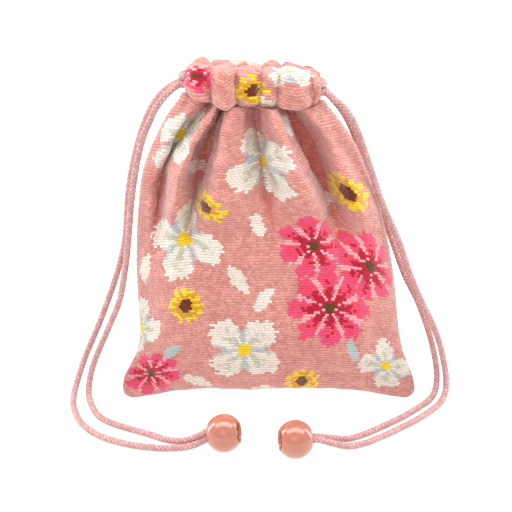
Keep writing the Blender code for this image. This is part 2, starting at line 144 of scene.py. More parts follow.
# Valleys: the rounds of smoothing that find them, and the depth at which they take their full painted shade.
# Then how low the pile may reach
VALLEY_ROUNDS = 120
VALLEY_DEPTH = 0.0020
LOWEST_PILE = 0.00005

# Creases of a tunnel: width and depth between pleats, depth on the inner face, and width of a slit
PLEAT_CREASE = 0.0011
PLEAT_CREASE_DEPTH = 0.0026
INNER_CREASE_DEPTH = 0.0006
SLIT_WIDTH = 0.0012

# How much a tunnel closes at its ends and from where, the rise of its pleats, and its lean. Then the height
# from which the panels follow the slope of the tunnels
END_CLOSING = 0.27
CLOSING_FROM = 0.86
PLEAT_RISE = 0.0009
TUNNEL_LEAN = 0.10
NECK_FROM = 0.86

# Rows of the panels: edge height, left edge, right edge, front height, front depth, back height, back depth,
# squareness, fullness
ROWS = (
    (0.000, -0.945, 0.945, 0.050, 0.00, 0.050, 0.00, 2.4, 1.60),
    (0.012, -0.986, 0.986, 0.058, 0.20, 0.036, 0.10, 2.4, 1.52),
    (0.038, -1.000, 1.000, 0.078, 0.40, 0.000, 0.43, 2.4, 1.40),
    (0.079, -0.985, 0.982, 0.124, 0.64, 0.000, 0.70, 2.3, 1.20),
    (0.122, -0.940, 0.946, 0.185, 0.82, 0.028, 0.87, 2.3, 1.03),
    (0.174, -0.890, 0.906, 0.254, 0.93, 0.068, 0.93, 2.3, 0.90),
    (0.236, -0.868, 0.878, 0.322, 0.985, 0.125, 0.965, 2.3, 0.78),
    (0.306, -0.870, 0.858, 0.392, 1.00, 0.190, 0.99, 2.3, 0.70),
    (0.386, -0.875, 0.838, 0.468, 0.99, 0.305, 1.00, 2.3, 0.66),
    (0.468, -0.876, 0.812, 0.543, 0.965, 0.420, 0.95, 2.3, 0.64),
    (0.548, -0.870, 0.780, 0.614, 0.92, 0.525, 0.88, 2.3, 0.62),
    (0.622, -0.860, 0.742, 0.678, 0.865, 0.612, 0.81, 2.3, 0.62),
    (0.692, -0.845, 0.702, 0.737, 0.795, 0.692, 0.73, 2.4, 0.61),
    (0.754, -0.828, 0.655, 0.789, 0.72, 0.760, 0.65, 2.5, 0.60),
    (0.808, -0.798, 0.606, 0.836, 0.645, 0.820, 0.58, 2.6, 0.59),
    (0.858, -0.758, 0.560, 0.878, 0.575, 0.872, 0.51, 2.8, 0.58),
    (0.903, -0.706, 0.500, 0.915, 0.505, 0.916, 0.445, 3.0, 0.56),
    (0.943, -0.648, 0.436, 0.949, 0.44, 0.952, 0.385, 3.3, 0.54),
    (0.976, -0.582, 0.376, 0.978, 0.385, 0.980, 0.335, 3.7, 0.52),
    (1.000, -0.552, 0.340, 1.000, 0.355, 1.000, 0.310, 4.0, 0.50),
)

# Gathered folds: place at the neck, high shoulder, low shoulder, chest and belly, then the depth and how
# steep the left and the right side of the valley are
FRONT_FOLDS = (
    (-0.60, -0.67, -0.80, -0.84, -0.84, 0.90, 5.0, 2.6),
    (-0.40, -0.41, -0.43, -0.46, -0.55, 1.50, 2.6, 9.0),
    (0.01, 0.02, 0.04, 0.06, 0.08, 0.80, 5.0, 5.0),
    (0.39, 0.43, 0.47, 0.50, 0.57, 1.70, 9.0, 2.6),
)
BACK_FOLDS = (
    (-0.66, -0.70, -0.76, -0.80, -0.82, 0.90, 4.0, 2.0),
    (-0.20, -0.22, -0.26, -0.30, -0.34, 1.15, 2.0, 5.5),
    (0.20, 0.21, 0.23, 0.27, 0.32, 0.95, 3.0, 3.0),
    (0.66, 0.69, 0.74, 0.78, 0.80, 1.00, 5.5, 2.0),
)
# Heights of a fold's five places, and how deep the folds are at each height
FOLD_HEIGHTS = (1.00, 0.935, 0.87, 0.79, 0.66)
FOLD_PROFILE = (
    (0.45, 0.56, 0.64, 0.72, 0.81, 0.89, 0.94, 1.00),
    (0.00, 0.06, 0.32, 0.78, 1.04, 1.06, 1.00, 0.80),
)

# Grooves of the gathered tunnels: place, pleat, dip, droop, and how far the pleat's foot is drawn in
FRONT_GROOVES = (
    (-1.00, 0.80, 0.00, 0.00, 0.30),
    (-0.62, 1.20, 0.80, 1.00, 0.00),
    (-0.24, 0.72, 0.55, 0.05, 1.00),
    (0.11, 0.66, 0.80, 0.00, 1.00),
    (0.36, 0.95, 0.50, 0.15, 0.45),
    (0.88, 0.50, 0.40, 0.00, 0.60),
    (1.00, 0.00, 0.00, 0.00, 0.60),
)
# Creases in the upper half of a front pleat: place and depth
FRONT_SLITS = ((-0.81, 0.0016), (-0.40, 0.0034), (0.62, 0.0008))
BACK_GROOVES = (
    (-1.00, 0.80, 0.00, 0.00, 0.50),
    (-0.62, 1.00, 0.70, 0.10, 0.30),
    (-0.28, 0.90, 0.50, 0.00, 0.90),
    (0.06, 1.00, 0.90, 0.20, 0.30),
    (0.44, 0.80, 0.60, 0.00, 0.80),
    (0.76, 0.60, 0.50, 0.00, 0.50),
    (1.00, 0.00, 0.00, 0.00, 0.50),
)

# Beads: place across and to the front, turn and rise in degrees
BEADS = {
    "left": (-0.0240, -0.0640, -10.0, 9.0),
    "right": (0.0130, -0.0705, 190.0, 2.0),
}
# Turn of the front and the back strand in a bead's bore, and how far they sag outside it
STRANDS_IN_BEAD = {"left": (70.0, 250.0), "right": (5.0, 185.0)}
SAG_AT_BEAD = {"left": 0.0018, "right": 0.0}
ROUTE_STEP = 0.0015

# The braid: yarns that lean each way round the cord, the length of one crossing along it, and its relief
YARNS = 4.0
LAY = 0.0023
BRAID_RELIEF = 0.00024

# Routes of the free strands, after the part's source, in tenths of a millimetre
ROUTES = {
    "left_front": (
        (-535, -112, 1775), (-590, -108, 1705), (-630, -100, 1625), (-664, -92, 1545), (-693, -84, 1448),
        (-719, -76, 1325), (-742, -69, 1188), (-767, -62, 968), (-793, -56, 788), (-831, -50, 607),
        (-905, -36, 426), (-970, -23, 277), (-1002, -18, 194), (-1022, -23, 120), (-1029, -44, 68),
        (-1026, -80, 36), (-1012, -128, 21), (-987, -202, 19), (-947, -291, 19), (-885, -364, 19),
        (-780, -432, 19), (-647, -505, 19), (-535, -575, 22), (-440, -610, 40),
    ),
    "left_back": (
        (-530, 106, 1775), (-590, 110, 1722), (-637, 109, 1655), (-673, 106, 1578), (-704, 102, 1495),
        (-734, 97, 1390), (-759, 92, 1280), (-780, 87, 1140), (-802, 81, 921), (-848, 75, 740),
        (-911, 67, 560), (-981, 56, 386), (-1042, 38, 249), (-1081, 10, 146), (-1103, -32, 75),
        (-1111, -86, 35), (-1103, -165, 20), (-1073, -270, 19), (-1024, -385, 19), (-912, -520, 19),
        (-768, -605, 19), (-633, -645, 19), (-525, -655, 19), (-425, -645, 24),
    ),
    "right_front": (
        (338, -112, 1742), (385, -110, 1700), (424, -104, 1645), (458, -94, 1575), (493, -84, 1485),
        (533, -76, 1375), (580, -70, 1240), (633, -66, 1110), (690, -63, 990), (736, -61, 869),
        (775, -59, 761), (842, -55, 609), (912, -45, 469), (962, -31, 343), (994, -21, 226),
        (1012, -24, 139), (1014, -46, 79), (1002, -82, 41), (976, -130, 21), (911, -226, 19),
        (818, -335, 19), (716, -430, 19), (600, -530, 19), (490, -610, 20), (400, -662, 35),
    ),
    "right_back": (
        (335, 122, 1705), (385, 137, 1645), (425, 142, 1580), (458, 142, 1510), (490, 140, 1430),
        (535, 136, 1320), (585, 130, 1190), (633, 120, 1060), (681, 106, 926), (726, 92, 804),
        (768, 80, 700), (840, 66, 560), (890, 55, 436), (927, 45, 326), (952, 33, 226),
        (965, 14, 144), (963, -18, 79), (946, -60, 40), (911, -112, 21), (838, -200, 19),
        (728, -318, 19), (601, -430, 19), (495, -515, 20), (405, -585, 35),
    ),
}


def dye(red, green, blue):
    """A yarn colour given as it looks on a screen, turned into a light value."""
    parts = [part / 255 for part in (red, green, blue)]
    return tuple(((part + 0.055) / 1.055) ** 2.4 if part > 0.04 else part / 12.92 for part in parts) + (1.0,)


GROUND = dye(235, 173, 162)
GROUND_DEEP = dye(216, 137, 127)
HOT_PINK = dye(248, 82, 114)
ROSE = dye(238, 96, 140)
DEEP_RED = dye(196, 34, 62)
PALE_PINK = dye(246, 176, 180)
CREAM = dye(246, 239, 226)
MIST = dye(196, 210, 208)
SUN = dye(252, 220, 50)
GOLD = dye(226, 166, 42)
BROWN = dye(112, 52, 30)
OLIVE = dye(96, 74, 30)
SAGE = dye(206, 212, 190)

# Woven blossoms: kind, place across, place up, radius, petals, turn in degrees
FRONT_BLOSSOMS = (
    ("dogwood", 0.003, 0.058, 0.0180, 4, 12),
    ("dogwood", 0.041, 0.106, 0.0235, 4, 18),
    ("dogwood", 0.071, 0.041, 0.0225, 4, 40),
    ("dogwood", 0.154, 0.030, 0.0185, 4, 5),
    ("dogwood", 0.097, 0.152, 0.0215, 4, 62),
    ("dogwood", 0.020, 0.166, 0.0175, 4, 30),
    ("zinnia", 0.113, 0.103, 0.0190, 7, 10),
    ("zinnia", 0.145, 0.092, 0.0210, 8, 14),
    ("zinnia", 0.119, 0.066, 0.0235, 8, 0),
    ("zinnia", 0.018, 0.024, 0.0170, 8, 8),
    ("sunflower", 0.040, 0.068, 0.0105, 12, 0),
    ("sunflower", 0.066, 0.128, 0.0095, 11, 9),
    ("sunflower", 0.150, 0.137, 0.0115, 12, 4),
    ("sunflower", 0.104, 0.017, 0.0100, 11, 12),
)
FRONT_LEAVES = (
    (0.070, 0.084, 0.0105, 0.0042, 60, CREAM),
    (0.083, 0.072, 0.0090, 0.0036, 130, CREAM),
    (0.050, 0.148, 0.0100, 0.0040, 20, CREAM),
    (0.134, 0.127, 0.0090, 0.0036, 150, CREAM),
    (0.046, 0.016, 0.0100, 0.0038, 35, CREAM),
    (0.080, 0.010, 0.0090, 0.0034, 160, CREAM),
    (0.132, 0.040, 0.0080, 0.0034, 75, MIST),
    (0.014, 0.092, 0.0095, 0.0038, 110, CREAM),
    (0.086, 0.116, 0.0085, 0.0034, 95, CREAM),
    (0.125, 0.176, 0.0095, 0.0036, 70, CREAM),
    (0.028, 0.040, 0.0085, 0.0034, 140, MIST),
)
BACK_BLOSSOMS = (
    ("zinnia", 0.046, 0.062, 0.0210, 9, 10),
    ("zinnia", 0.071, 0.094, 0.0175, 8, 0),
    ("zinnia", 0.134, 0.136, 0.0165, 8, 20),
    ("dogwood", 0.116, 0.066, 0.0205, 4, 24),
    ("dogwood", 0.028, 0.122, 0.0190, 4, 50),
    ("dogwood", 0.096, 0.146, 0.0150, 4, 10),
    ("dogwood", 0.090, 0.022, 0.0160, 4, 35),
    ("sunflower", 0.143, 0.096, 0.0125, 12, 0),
    ("sunflower", 0.024, 0.026, 0.0120, 11, 5),
    ("sunflower", 0.060, 0.134, 0.0110, 11, 8),
    ("sunflower", 0.146, 0.030, 0.0120, 12, 3),
)
BACK_LEAVES = (
    (0.088, 0.118, 0.0080, 0.0032, 30, CREAM),
    (0.018, 0.084, 0.0075, 0.0030, 120, CREAM),
    (0.060, 0.030, 0.0080, 0.0032, 65, MIST),
    (0.150, 0.066, 0.0075, 0.0030, 100, CREAM),
    (0.118, 0.108, 0.0075, 0.0030, 15, CREAM),
)
HEM_BLOSSOMS = (
    ("zinnia", 0.0075, 0.209, 0.0095, 8, 0),
    ("dogwood", 0.056, 0.216, 0.0125, 4, 38),
    ("sunflower", 0.037, 0.203, 0.0085, 11, 5),
)
HEM_LEAVES = ((0.046, 0.196, 0.0065, 0.0026, 30, CREAM),)
BACK_HEM_BLOSSOMS = (
    ("sunflower", 0.016, 0.208, 0.0105, 12, 0),
    ("dogwood", 0.034, 0.214, 0.0130, 4, 20),
    ("zinnia", 0.058, 0.209, 0.0120, 8, 12),
)


# Tables and curves

def ease(value):
    value = np.clip(value, 0.0, 1.0)
    return value * value * (3.0 - 2.0 * value)


def soft_table(places, values, at, blur=0.02):
    """Reads a table on straight lines, softened over a short stretch."""
    return sum(np.interp(at + blur * shift, places, values) for shift in (-1.0, -0.5, 0.0, 0.5, 1.0)) / 5


def ripples(across, up, size, seed):
    """Soft lumps of about one size, from waves in seeded directions, between about -1 and 1."""
    source = np.random.default_rng(seed)
    total = np.zeros_like(across)
    for turn, phase, scale in source.random((WAVES, 3)):
        turn *= 2 * math.pi
        along = across * math.cos(turn) + up * math.sin(turn)
        total += np.sin(2 * math.pi * along / (size * (0.7 + 0.8 * scale)) + phase * 6.28)
    return total / math.sqrt(WAVES / 2) / 1.6


def seam_y(height):
    return SEAM_FOOT_Y + (SEAM_NECK_Y - SEAM_FOOT_Y) * height / NECK_HEIGHT


def tunnel_middle(share, side):
    x = NECK_X + share * TUNNEL_LENGTH / 2
    y = seam_y(NECK_HEIGHT) + side * (TUNNEL_FROM_SEAM - TUNNEL_END_TUCK * share**4)
    z = NECK_HEIGHT + GAP + TUNNEL_HEIGHT / 2 - TUNNEL_SLOPE * share
    if side == BACK:
        z -= BACK_TUNNEL_DROP
    return Vector((x, y, z))


def tunnel_half_height(share):
    return TUNNEL_HEIGHT / 2 - TUNNEL_END_DROP * share**6


def neck_edge(x, side):
    share = np.clip((x - NECK_X) / (TUNNEL_LENGTH / 2), -1.0, 1.0)
    drop = BACK_TUNNEL_DROP if side == BACK else 0.0
    return NECK_HEIGHT - TUNNEL_SLOPE * share - drop + TUNNEL_END_DROP * share**6


# Cloth shapes

def fine_rows():
    """ROWS on a smooth curve, with ROW_STEPS places from each row to the next."""
    rows = np.array(ROWS)
    ends = np.vstack([2 * rows[0] - rows[1], rows, 2 * rows[-1] - rows[-2]])
    fine = []
    for index in range(len(rows) - 1):
        a, b, c, d = ends[index : index + 4]
        for step in range(ROW_STEPS):
            t = step / ROW_STEPS
            bend = (2 * a - 5 * b + 4 * c - d) * t**2 + (3 * b - 3 * c + d - a) * t**3
            fine.append((index + t, 0.5 * (2 * b + (c - a) * t + bend)))
    fine.append((len(rows) - 1.0, rows[-1]))
    return fine


def valley_side(t, steepness):
    """How far a valley still reaches at a share t of the way to the next one: a steep wall or a slow rise."""
    if steepness >= 3.0:
        return (1 - t) ** steepness
    return 1.0 - ease(t * steepness / 1.5)


def panel_columns(folds, height):
    """Across one row: shares of the half width, and the push inwards as a share of the fold depth."""
    order = np.argsort(FOLD_HEIGHTS)
    heights = np.array(FOLD_HEIGHTS)[order]
    places = [-1.0]
    depths = [0.0]
    steeps = [(2.0, 2.0)]
    profile = soft_table(*FOLD_PROFILE, height)
    for fold in folds:
        places.append(float(soft_table(heights, np.array(fold[:5])[order], height)))
        depths.append(fold[5] * profile)
        steeps.append(fold[6:8])
    places.append(1.0)
    depths.append(0.0)
    steeps.append((2.0, 2.0))
    shares = []
    pushes = []
    for index in range(len(places) - 1):
        t = np.arange(FOLD_STEPS) / FOLD_STEPS
        left, right = depths[index], depths[index + 1]
        shares.append(places[index] + (places[index + 1] - places[index]) * t)
        before, after = steeps[index][1], steeps[index + 1][0]
        falls = left * valley_side(t, before) + right * valley_side(1 - t, after)
        # The crest between two valleys stands nearest to the steeper wall
        near, far = 1.5 * (after / before) ** 0.75, 1.5 * (before / after) ** 0.75
        top = (near / (near + far)) ** near * (far / (near + far)) ** far
        pushes.append(falls - 0.32 * (left + right) * t**near * (1 - t) ** far / top)
    return np.append(np.concatenate(shares), 1.0), np.append(np.concatenate(pushes), 0.0)


def panel_shape(side, folds, fold_size):
    """Outer face of a panel as a fine grid of points, rows from the bottom seam up to the neck."""
    height_column, depth_column, depth_size = (3, 4, FRONT_DEPTH) if side == FRONT else (5, 6, BACK_DEPTH)
    grid = []
    for index, row in fine_rows():
        edge_z, left, right = row[0:3]
        middle_z = row[height_column]
        depth = max(row[depth_column], 0.0) * depth_size
        squareness, fullness = row[7:9]
        share, push = panel_columns(folds, middle_z)
        round_share = np.maximum(1.0 - np.abs(share) ** squareness, 0.0) ** fullness
        lift = np.minimum(1.0, 1.15 * round_share)
        z = (edge_z * (1 - lift) + middle_z * lift) * NECK_HEIGHT
        x = (left + right) / 2 * BAG_WIDTH / 2 + share * (right - left) / 2 * BAG_WIDTH / 2
        z = z + (neck_edge(x, side) - NECK_HEIGHT) * ease((z / NECK_HEIGHT - NECK_FROM) / (1.0 - NECK_FROM))
        plain = depth * round_share
        rise = CLOTH * min(index, 1) * np.maximum(1.0 - np.abs(share) ** 12, 0.0) ** 0.5
        offset = np.maximum(plain - push * fold_size, 0.09 * plain) + rise
        grid.append(np.stack([x, seam_y(z) + side * (offset - GAP / 2), z], axis=1))
    return np.array(grid)


def spaced(line, count):
    """Points evenly spaced along a line of points."""
    run = np.concatenate([[0.0], np.cumsum(np.linalg.norm(np.diff(line, axis=0), axis=1))])
    goals = np.linspace(0.0, run[-1], count + 1)
    return np.stack([np.interp(goals, run, line[:, axis]) for axis in range(3)], axis=1)


def even_grid(grid, rows, columns):
    """Respaces a grid evenly across each row and up the cloth."""
    across = np.array([spaced(line, columns) for line in grid])
    steps = np.linalg.norm(np.diff(across, axis=0), axis=2).mean(axis=1)
    run = np.concatenate([[0.0], np.cumsum(steps)])
    goals = np.linspace(0.0, run[-1], rows + 1)
    places = np.interp(goals, run, np.arange(len(run)))
    low = np.minimum(places.astype(int), len(run) - 2)
    part = (places - low)[:, None, None]
    return across[low] * (1 - part) + across[low + 1] * part


def relaxed(grid, rounds):
    """Rounds the sharpest creases, as cloth of this thickness does, with the edges left alone."""
    grid = grid.copy()
    for _ in range(rounds):
        inner = grid[1:-1, 1:-1]
        around = grid[:-2, 1:-1] + grid[2:, 1:-1] + grid[1:-1, :-2] + grid[1:-1, 2:]
        grid[1:-1, 1:-1] = inner * 0.5 + around * 0.125
    return grid


def normals(grid):
    facing = np.cross(np.gradient(grid, axis=1), np.gradient(grid, axis=0))
    return facing / np.maximum(np.linalg.norm(facing, axis=2, keepdims=True), 1e-12)


def normals_to(grid, side):
    facing = normals(grid)
    return facing * np.sign((facing[:, :, 1] * side).mean())


def hollows(grid, facing):
    """How far each point lies in a valley of the cloth, between 0 and 1: the amount of painted shade there.
    """
    sunk = ((relaxed(grid, VALLEY_ROUNDS) - grid) * facing).sum(axis=2)
    return ease(sunk / VALLEY_DEPTH)


def pile_relief(rows, columns, seed):
    """Height of the pile at each point: rounded rows, a tuft at every stitch, and a little unevenness."""
    i = np.arange(rows + 1)[:, None]
    j = np.arange(columns + 1)[None, :]
    rib = np.sin(math.pi * (i % ROW_POINTS) / ROW_POINTS) ** 0.8 * np.ones_like(j)
    row = i // ROW_POINTS
    shift = row % 2
    tuft = ((j + shift) % 2).astype(float)
    source = np.random.default_rng(seed)
    stitch = source.random((rows // ROW_POINTS + 2, columns // STITCH_POINTS + 2))
    each = stitch[row, (j + shift) // STITCH_POINTS]
    loose = source.random((rows + 1, columns + 1))
    domes = rib * (0.28 + 0.56 * tuft + 0.40 * each) - 0.42
    return PILE * domes + PILE * 0.5 * (loose - 0.5)


def inner_wall(outer, side):
    """A coarse grid one cloth thickness inside a panel, which stops at the seam plane."""
    inward = normals(outer) * side
    inward[:, 0] = (1.0, 0.0, 0.0)
    inward[:, -1] = (-1.0, 0.0, 0.0)
    inward[0, :] = (0.0, 0.0, 1.0)
    inward[0, 0] = (0.7, 0.0, 0.7)
    inward[0, -1] = (-0.7, 0.0, 0.7)
    inner = outer + inward * CLOTH
    inner[-1, :, 2] = np.minimum(outer[-1, :, 2], neck_edge(inner[-1, :, 0], side))
    stop = seam_y(inner[:, :, 2]) - side * GAP / 2
    over = (inner[:, :, 1] - stop) * side < 0.0
    over[0, :] = True
    over[:, 0] = True
    over[:, -1] = True
    inner[:, :, 1] = np.where(over, stop, inner[:, :, 1])
    return inner


def finish_mesh(work, mesh):
    """Writes a closed shape into its mesh, smooth and with its faces outwards."""
    if work.calc_volume(signed=True) < 0:
        bmesh.ops.reverse_faces(work, faces=work.faces)
    work.to_mesh(mesh)
    work.free()
    mesh.shade_smooth()


def sew_wall(name, outer, inner, steps, places, sunk, rims=False):
    """Joins a fine outer grid and a coarse inner one into one closed wall, with the cloth's own UV map."""
    row_step, column_step = steps
    rows, columns = outer.shape[0] - 1, outer.shape[1] - 1
    low_rows, low_columns = rows // row_step, columns // column_step
    start = (rows + 1) * (columns + 1)

    def out(i, j):
        return i * (columns + 1) + j

    def ins(i, j):
        return start + i * (low_columns + 1) + j

    faces = []
    for i in range(rows):
        for j in range(columns):
            faces.append((out(i, j), out(i, j + 1), out(i + 1, j + 1), out(i + 1, j)))
    for i in range(low_rows):
        for j in range(low_columns):
            faces.append((ins(i, j), ins(i + 1, j), ins(i + 1, j + 1), ins(i, j + 1)))
    # A panel has a rim at its foot and at its neck. A tunnel's cloth meets itself there
    if rims:
        for j in range(low_columns):
            run = range(j * column_step, (j + 1) * column_step + 1)
            faces.append((ins(0, j), ins(0, j + 1), *[out(0, k) for k in reversed(run)]))
            faces.append((*[out(rows, k) for k in run], ins(low_rows, j + 1), ins(low_rows, j)))
    for i in range(low_rows):
        run = range(i * row_step, (i + 1) * row_step + 1)
        faces.append((*[out(k, 0) for k in run], ins(i + 1, 0), ins(i, 0)))
        right = [out(k, columns) for k in reversed(run)]
        faces.append((ins(i, low_columns), ins(i + 1, low_columns), *right))
    points = np.vstack([outer.reshape(-1, 3), inner.reshape(-1, 3)])
    mesh = bpy.data.meshes.new(name)
    mesh.from_pydata(points, [], faces)
    # The painted valley shade, on the outer face only
    shade = np.concatenate([sunk.ravel(), np.zeros(inner.shape[0] * inner.shape[1])]).astype(np.float32)
    mesh.attributes.new("painted_valley_shade", "FLOAT", "POINT").data.foreach_set("value", shade)
    flat = np.vstack([places.reshape(-1, 2), places[::row_step, ::column_step].reshape(-1, 2)])
    corners = np.empty(len(mesh.loops), dtype=np.int32)
    mesh.loops.foreach_get("vertex_index", corners)
    mesh.uv_layers.new(name="cloth").data.foreach_set("uv", flat[corners].astype(np.float32).ravel())
    work = bmesh.new()
    work.from_mesh(mesh)
    bmesh.ops.remove_doubles(work, verts=work.verts, dist=1e-6)
    finish_mesh(work, mesh)
    return mesh


def add_piece(name, data, material=None):
    """Puts a piece in the scene. A swept cord's mesh already has its material."""
    piece = bpy.data.objects.new(name, data)
    if material is not None:
        data.materials.append(material)
    bpy.context.scene.collection.objects.link(piece)
    return piece


def cloth_places(rows, columns, width, height):
    """Flat places of a cloth's mesh points, in metres across and up."""
    return np.meshgrid(np.linspace(0, width, columns + 1), np.linspace(0, height, rows + 1))


def add_panel(name, side, folds, fold_size, seed, material):
    rows, columns = PANEL_ROWS * ROW_POINTS, STITCHES * STITCH_POINTS
    smooth = relaxed(even_grid(panel_shape(side, folds, fold_size), rows, columns), 3)
    j, i = cloth_places(rows, columns, FLAT_WIDTH, PANEL_ROWS * ROW)
    height = i / (PANEL_ROWS * ROW)
    facing = normals_to(smooth, side)
    sunk = hollows(smooth, facing)
    edge = ease(np.minimum(j, FLAT_WIDTH - j) / SIDE_FADE) * ease(i / FOOT_FADE)
    edge *= ease((height[-1, 0] - height) / NECK_FADE)
    # Small gathers run down from the neck, and soft lumps lie all over
    waves = j / GATHERS[1] + GATHERS_WANDER[0] * ripples(j, i, GATHERS_WANDER[1], seed)
    relief = GATHERS[0] * ease((height - GATHERS_FOOT) / GATHERS_START) * np.sin(2 * math.pi * waves)
    relief += LUMPS[0] * ripples(j, i, LUMPS[1], seed + 1)
    relief += SMALL_LUMPS[0] * ripples(j, i, SMALL_LUMPS[1], seed + 2)
    shaped = smooth + facing * (edge * relief)[:, :, None]
    outer = shaped + normals_to(shaped, side) * pile_relief(rows, columns, seed + 3)[:, :, None]
    outer[:, :, 2] = np.maximum(outer[:, :, 2], LOWEST_PILE)
    inner = inner_wall(smooth[:: PANEL_SPAN[0], :: PANEL_SPAN[1]], side)
    mesh = sew_wall(name, outer, inner, PANEL_SPAN, np.stack([j, i], axis=2), sunk, rims=True)
    return add_piece(name, mesh, material)


def tunnel_rings(side, grooves, slits, wall):
    """Rings of a gathered tunnel, from under its outer face up, over and down its inner face."""
    places = [row[0] for row in grooves]
    crease_depth, slit_share = (PLEAT_CREASE_DEPTH, 1.0) if wall == 0.0 else (INNER_CREASE_DEPTH, 0.25)
    angle = np.linspace(-math.pi / 2, math.pi * 1.5, RING_POINTS + 1)
    out, up = np.cos(angle), np.sin(angle)
    low_corner = 4 * np.maximum(out, 0.0) ** 4 * np.maximum(-up, 0.0)
    grid = []
    for share in np.linspace(-1.0, 1.0, RING_STATIONS + 1):
        index = min(int(np.searchsorted(places, share, side="right")) - 1, len(grooves) - 2)
        left, right = grooves[index], grooves[index + 1]
        t = (share - left[0]) / (right[0] - left[0])
        swell = left[1] * max(math.sin(math.pi * t), 0.0) ** 0.55
        to_left = share - left[0] if index else 1.0
        to_right = right[0] - share if index < len(grooves) - 2 else 1.0
        near = min(to_left, to_right) * TUNNEL_LENGTH / 2
        crease = math.exp(-((near / PLEAT_CREASE) ** 2))
        dip = left[2] * (1 - t) ** 2 + right[2] * t**2
        droop = left[3] * math.sin(math.pi * t)
        middle = tunnel_middle(share, side)
        closing = 1.0 - END_CLOSING * max((abs(share) - CLOSING_FROM) / (1.0 - CLOSING_FROM), 0.0) ** 2
        half_z = tunnel_half_height(share) * closing - wall
        half_y = (TUNNEL_DEPTH / 2 - TUNNEL_END_TUCK * 0.5 * share**6) * closing - wall
        foot = left[4] + (right[4] - left[4]) * ease(t)
        # A pleat whose foot is drawn in runs on into the panel below with a square corner
        corner = np.where((out > 0.0) & (up < 0.0), 0.5 - 0.32 * foot, 0.5)
        y = np.copysign(np.abs(out) ** corner, out) * half_y
        z = np.copysign(np.abs(up) ** corner, up) * half_z
        y += RIPPLE * swell * (np.maximum(out, 0.0) + 0.15 * np.minimum(out, 0.0))
        z += PLEAT_RISE * (swell - 0.6) * up
        y -= crease_depth * crease * np.maximum(out, 0.0) ** 0.5
        z -= CREST_DIP * dip * np.maximum(up, 0.0)
        y += DROOP / 2 * droop * low_corner
        y -= FOOT_TUCK * foot * np.maximum(out, 0.0) * np.maximum(-up, 0.0)
        for place, cut in slits:
            away = (share - place) * TUNNEL_LENGTH / 2
            slit = math.exp(-((away / SLIT_WIDTH) ** 2)) * slit_share
            y -= cut * slit * ease((up + 0.25) / 0.5) * np.maximum(out, 0.0) ** 0.5
        z -= DROOP * droop * low_corner
        lean = TUNNEL_LEAN * math.sin(5.0 * share + 1.0) * (1.0 - share**4)
        ring = np.stack([middle.x + lean * z, middle.y + side * y, middle.z + z], axis=1)
        grid.append(spaced(ring, HEM_ROWS * ROW_POINTS))
    return np.array(grid).transpose(1, 0, 2)


def add_tunnel(name, side, grooves, slits, seed, material):
    rows, columns = HEM_ROWS * ROW_POINTS, HEM_STITCHES * STITCH_POINTS
    shape = tunnel_rings(side, grooves, slits, 0.0)
    smooth = np.array([spaced(line, columns) for line in shape])
    smooth[1:-1, 1:-1] = relaxed(smooth, 2)[1:-1, 1:-1]
    j, i = cloth_places(rows, columns, HEM_STITCHES * STITCH, HEM_ROWS * ROW)
    facing = normals(smooth)
    centre = smooth.mean(axis=0, keepdims=True)
    facing *= np.sign(((smooth - centre) * facing).sum(axis=2).mean())
    relief = HEM_LUMPS[0] * ripples(j, i, HEM_LUMPS[1], seed)
    relief *= ease(np.minimum(i, HEM_ROWS * ROW - i) / HEM_FADE)
    relief += 0.75 * pile_relief(rows, columns, seed + 3)
    outer = smooth + facing * relief[:, :, None]
    outer[-1] = outer[0]
    inner = np.array([spaced(line, columns) for line in tunnel_rings(side, grooves, slits, CLOTH)])
    inner = inner[:: HEM_SPAN[0], :: HEM_SPAN[1]]
    inner[-1] = inner[0]
    places = np.stack([j, FLAT_HEIGHT + i], axis=2)
    mesh = sew_wall(name, outer, inner, HEM_SPAN, places, hollows(smooth, facing))
    return add_piece(name, mesh, material)


# Cord routes

def between(a, b, t, low, high):
    return a * ((high - t) / (high - low)) + b * ((t - low) / (high - low))


def smooth_route(points):
    """Evenly spaced points on a centripetal Catmull-Rom curve through the route's own points."""
    ends = [points[0] * 2 - points[1], *points, points[-1] * 2 - points[-2]]
    fine = []
    for a, b, c, d in zip(ends, ends[1:], ends[2:], ends[3:]):
        t1 = (b - a).length ** 0.5
        t2 = t1 + (c - b).length ** 0.5
        t3 = t2 + (d - c).length ** 0.5
        for step in range(ROUTE_STEPS):
            t = t1 + (t2 - t1) * step / ROUTE_STEPS
            ab = between(a, b, t, 0.0, t1)
            bc = between(b, c, t, t1, t2)
            cd = between(c, d, t, t2, t3)
            fine.append(between(between(ab, bc, t, 0.0, t2), between(bc, cd, t, t1, t3), t, t1, t2))
    fine.append(points[-1])
    line = np.array([tuple(point) for point in fine])
    length = np.linalg.norm(np.diff(line, axis=0), axis=1).sum()
    return spaced(line, max(round(length / ROUTE_STEP), 1))


def cord_in_tunnel(share, side, cord_end):
    """Where a cord runs in a tunnel. The two cords turn about each other on the way."""
    turn = math.pi / 2 * share * -cord_end
    along = Vector((0.0, cord_end * side * math.cos(turn), math.sin(turn)))
    return tunnel_middle(share, side) + along * CORD_SPACING / 2


def loop_end(side, cord_end):
    share = cord_end * (1.0 - STRAND_START / (TUNNEL_LENGTH / 2))
    inside = cord_in_tunnel(share, side, cord_end)
    return inside, (cord_in_tunnel(cord_end, side, cord_end) - inside).normalized()


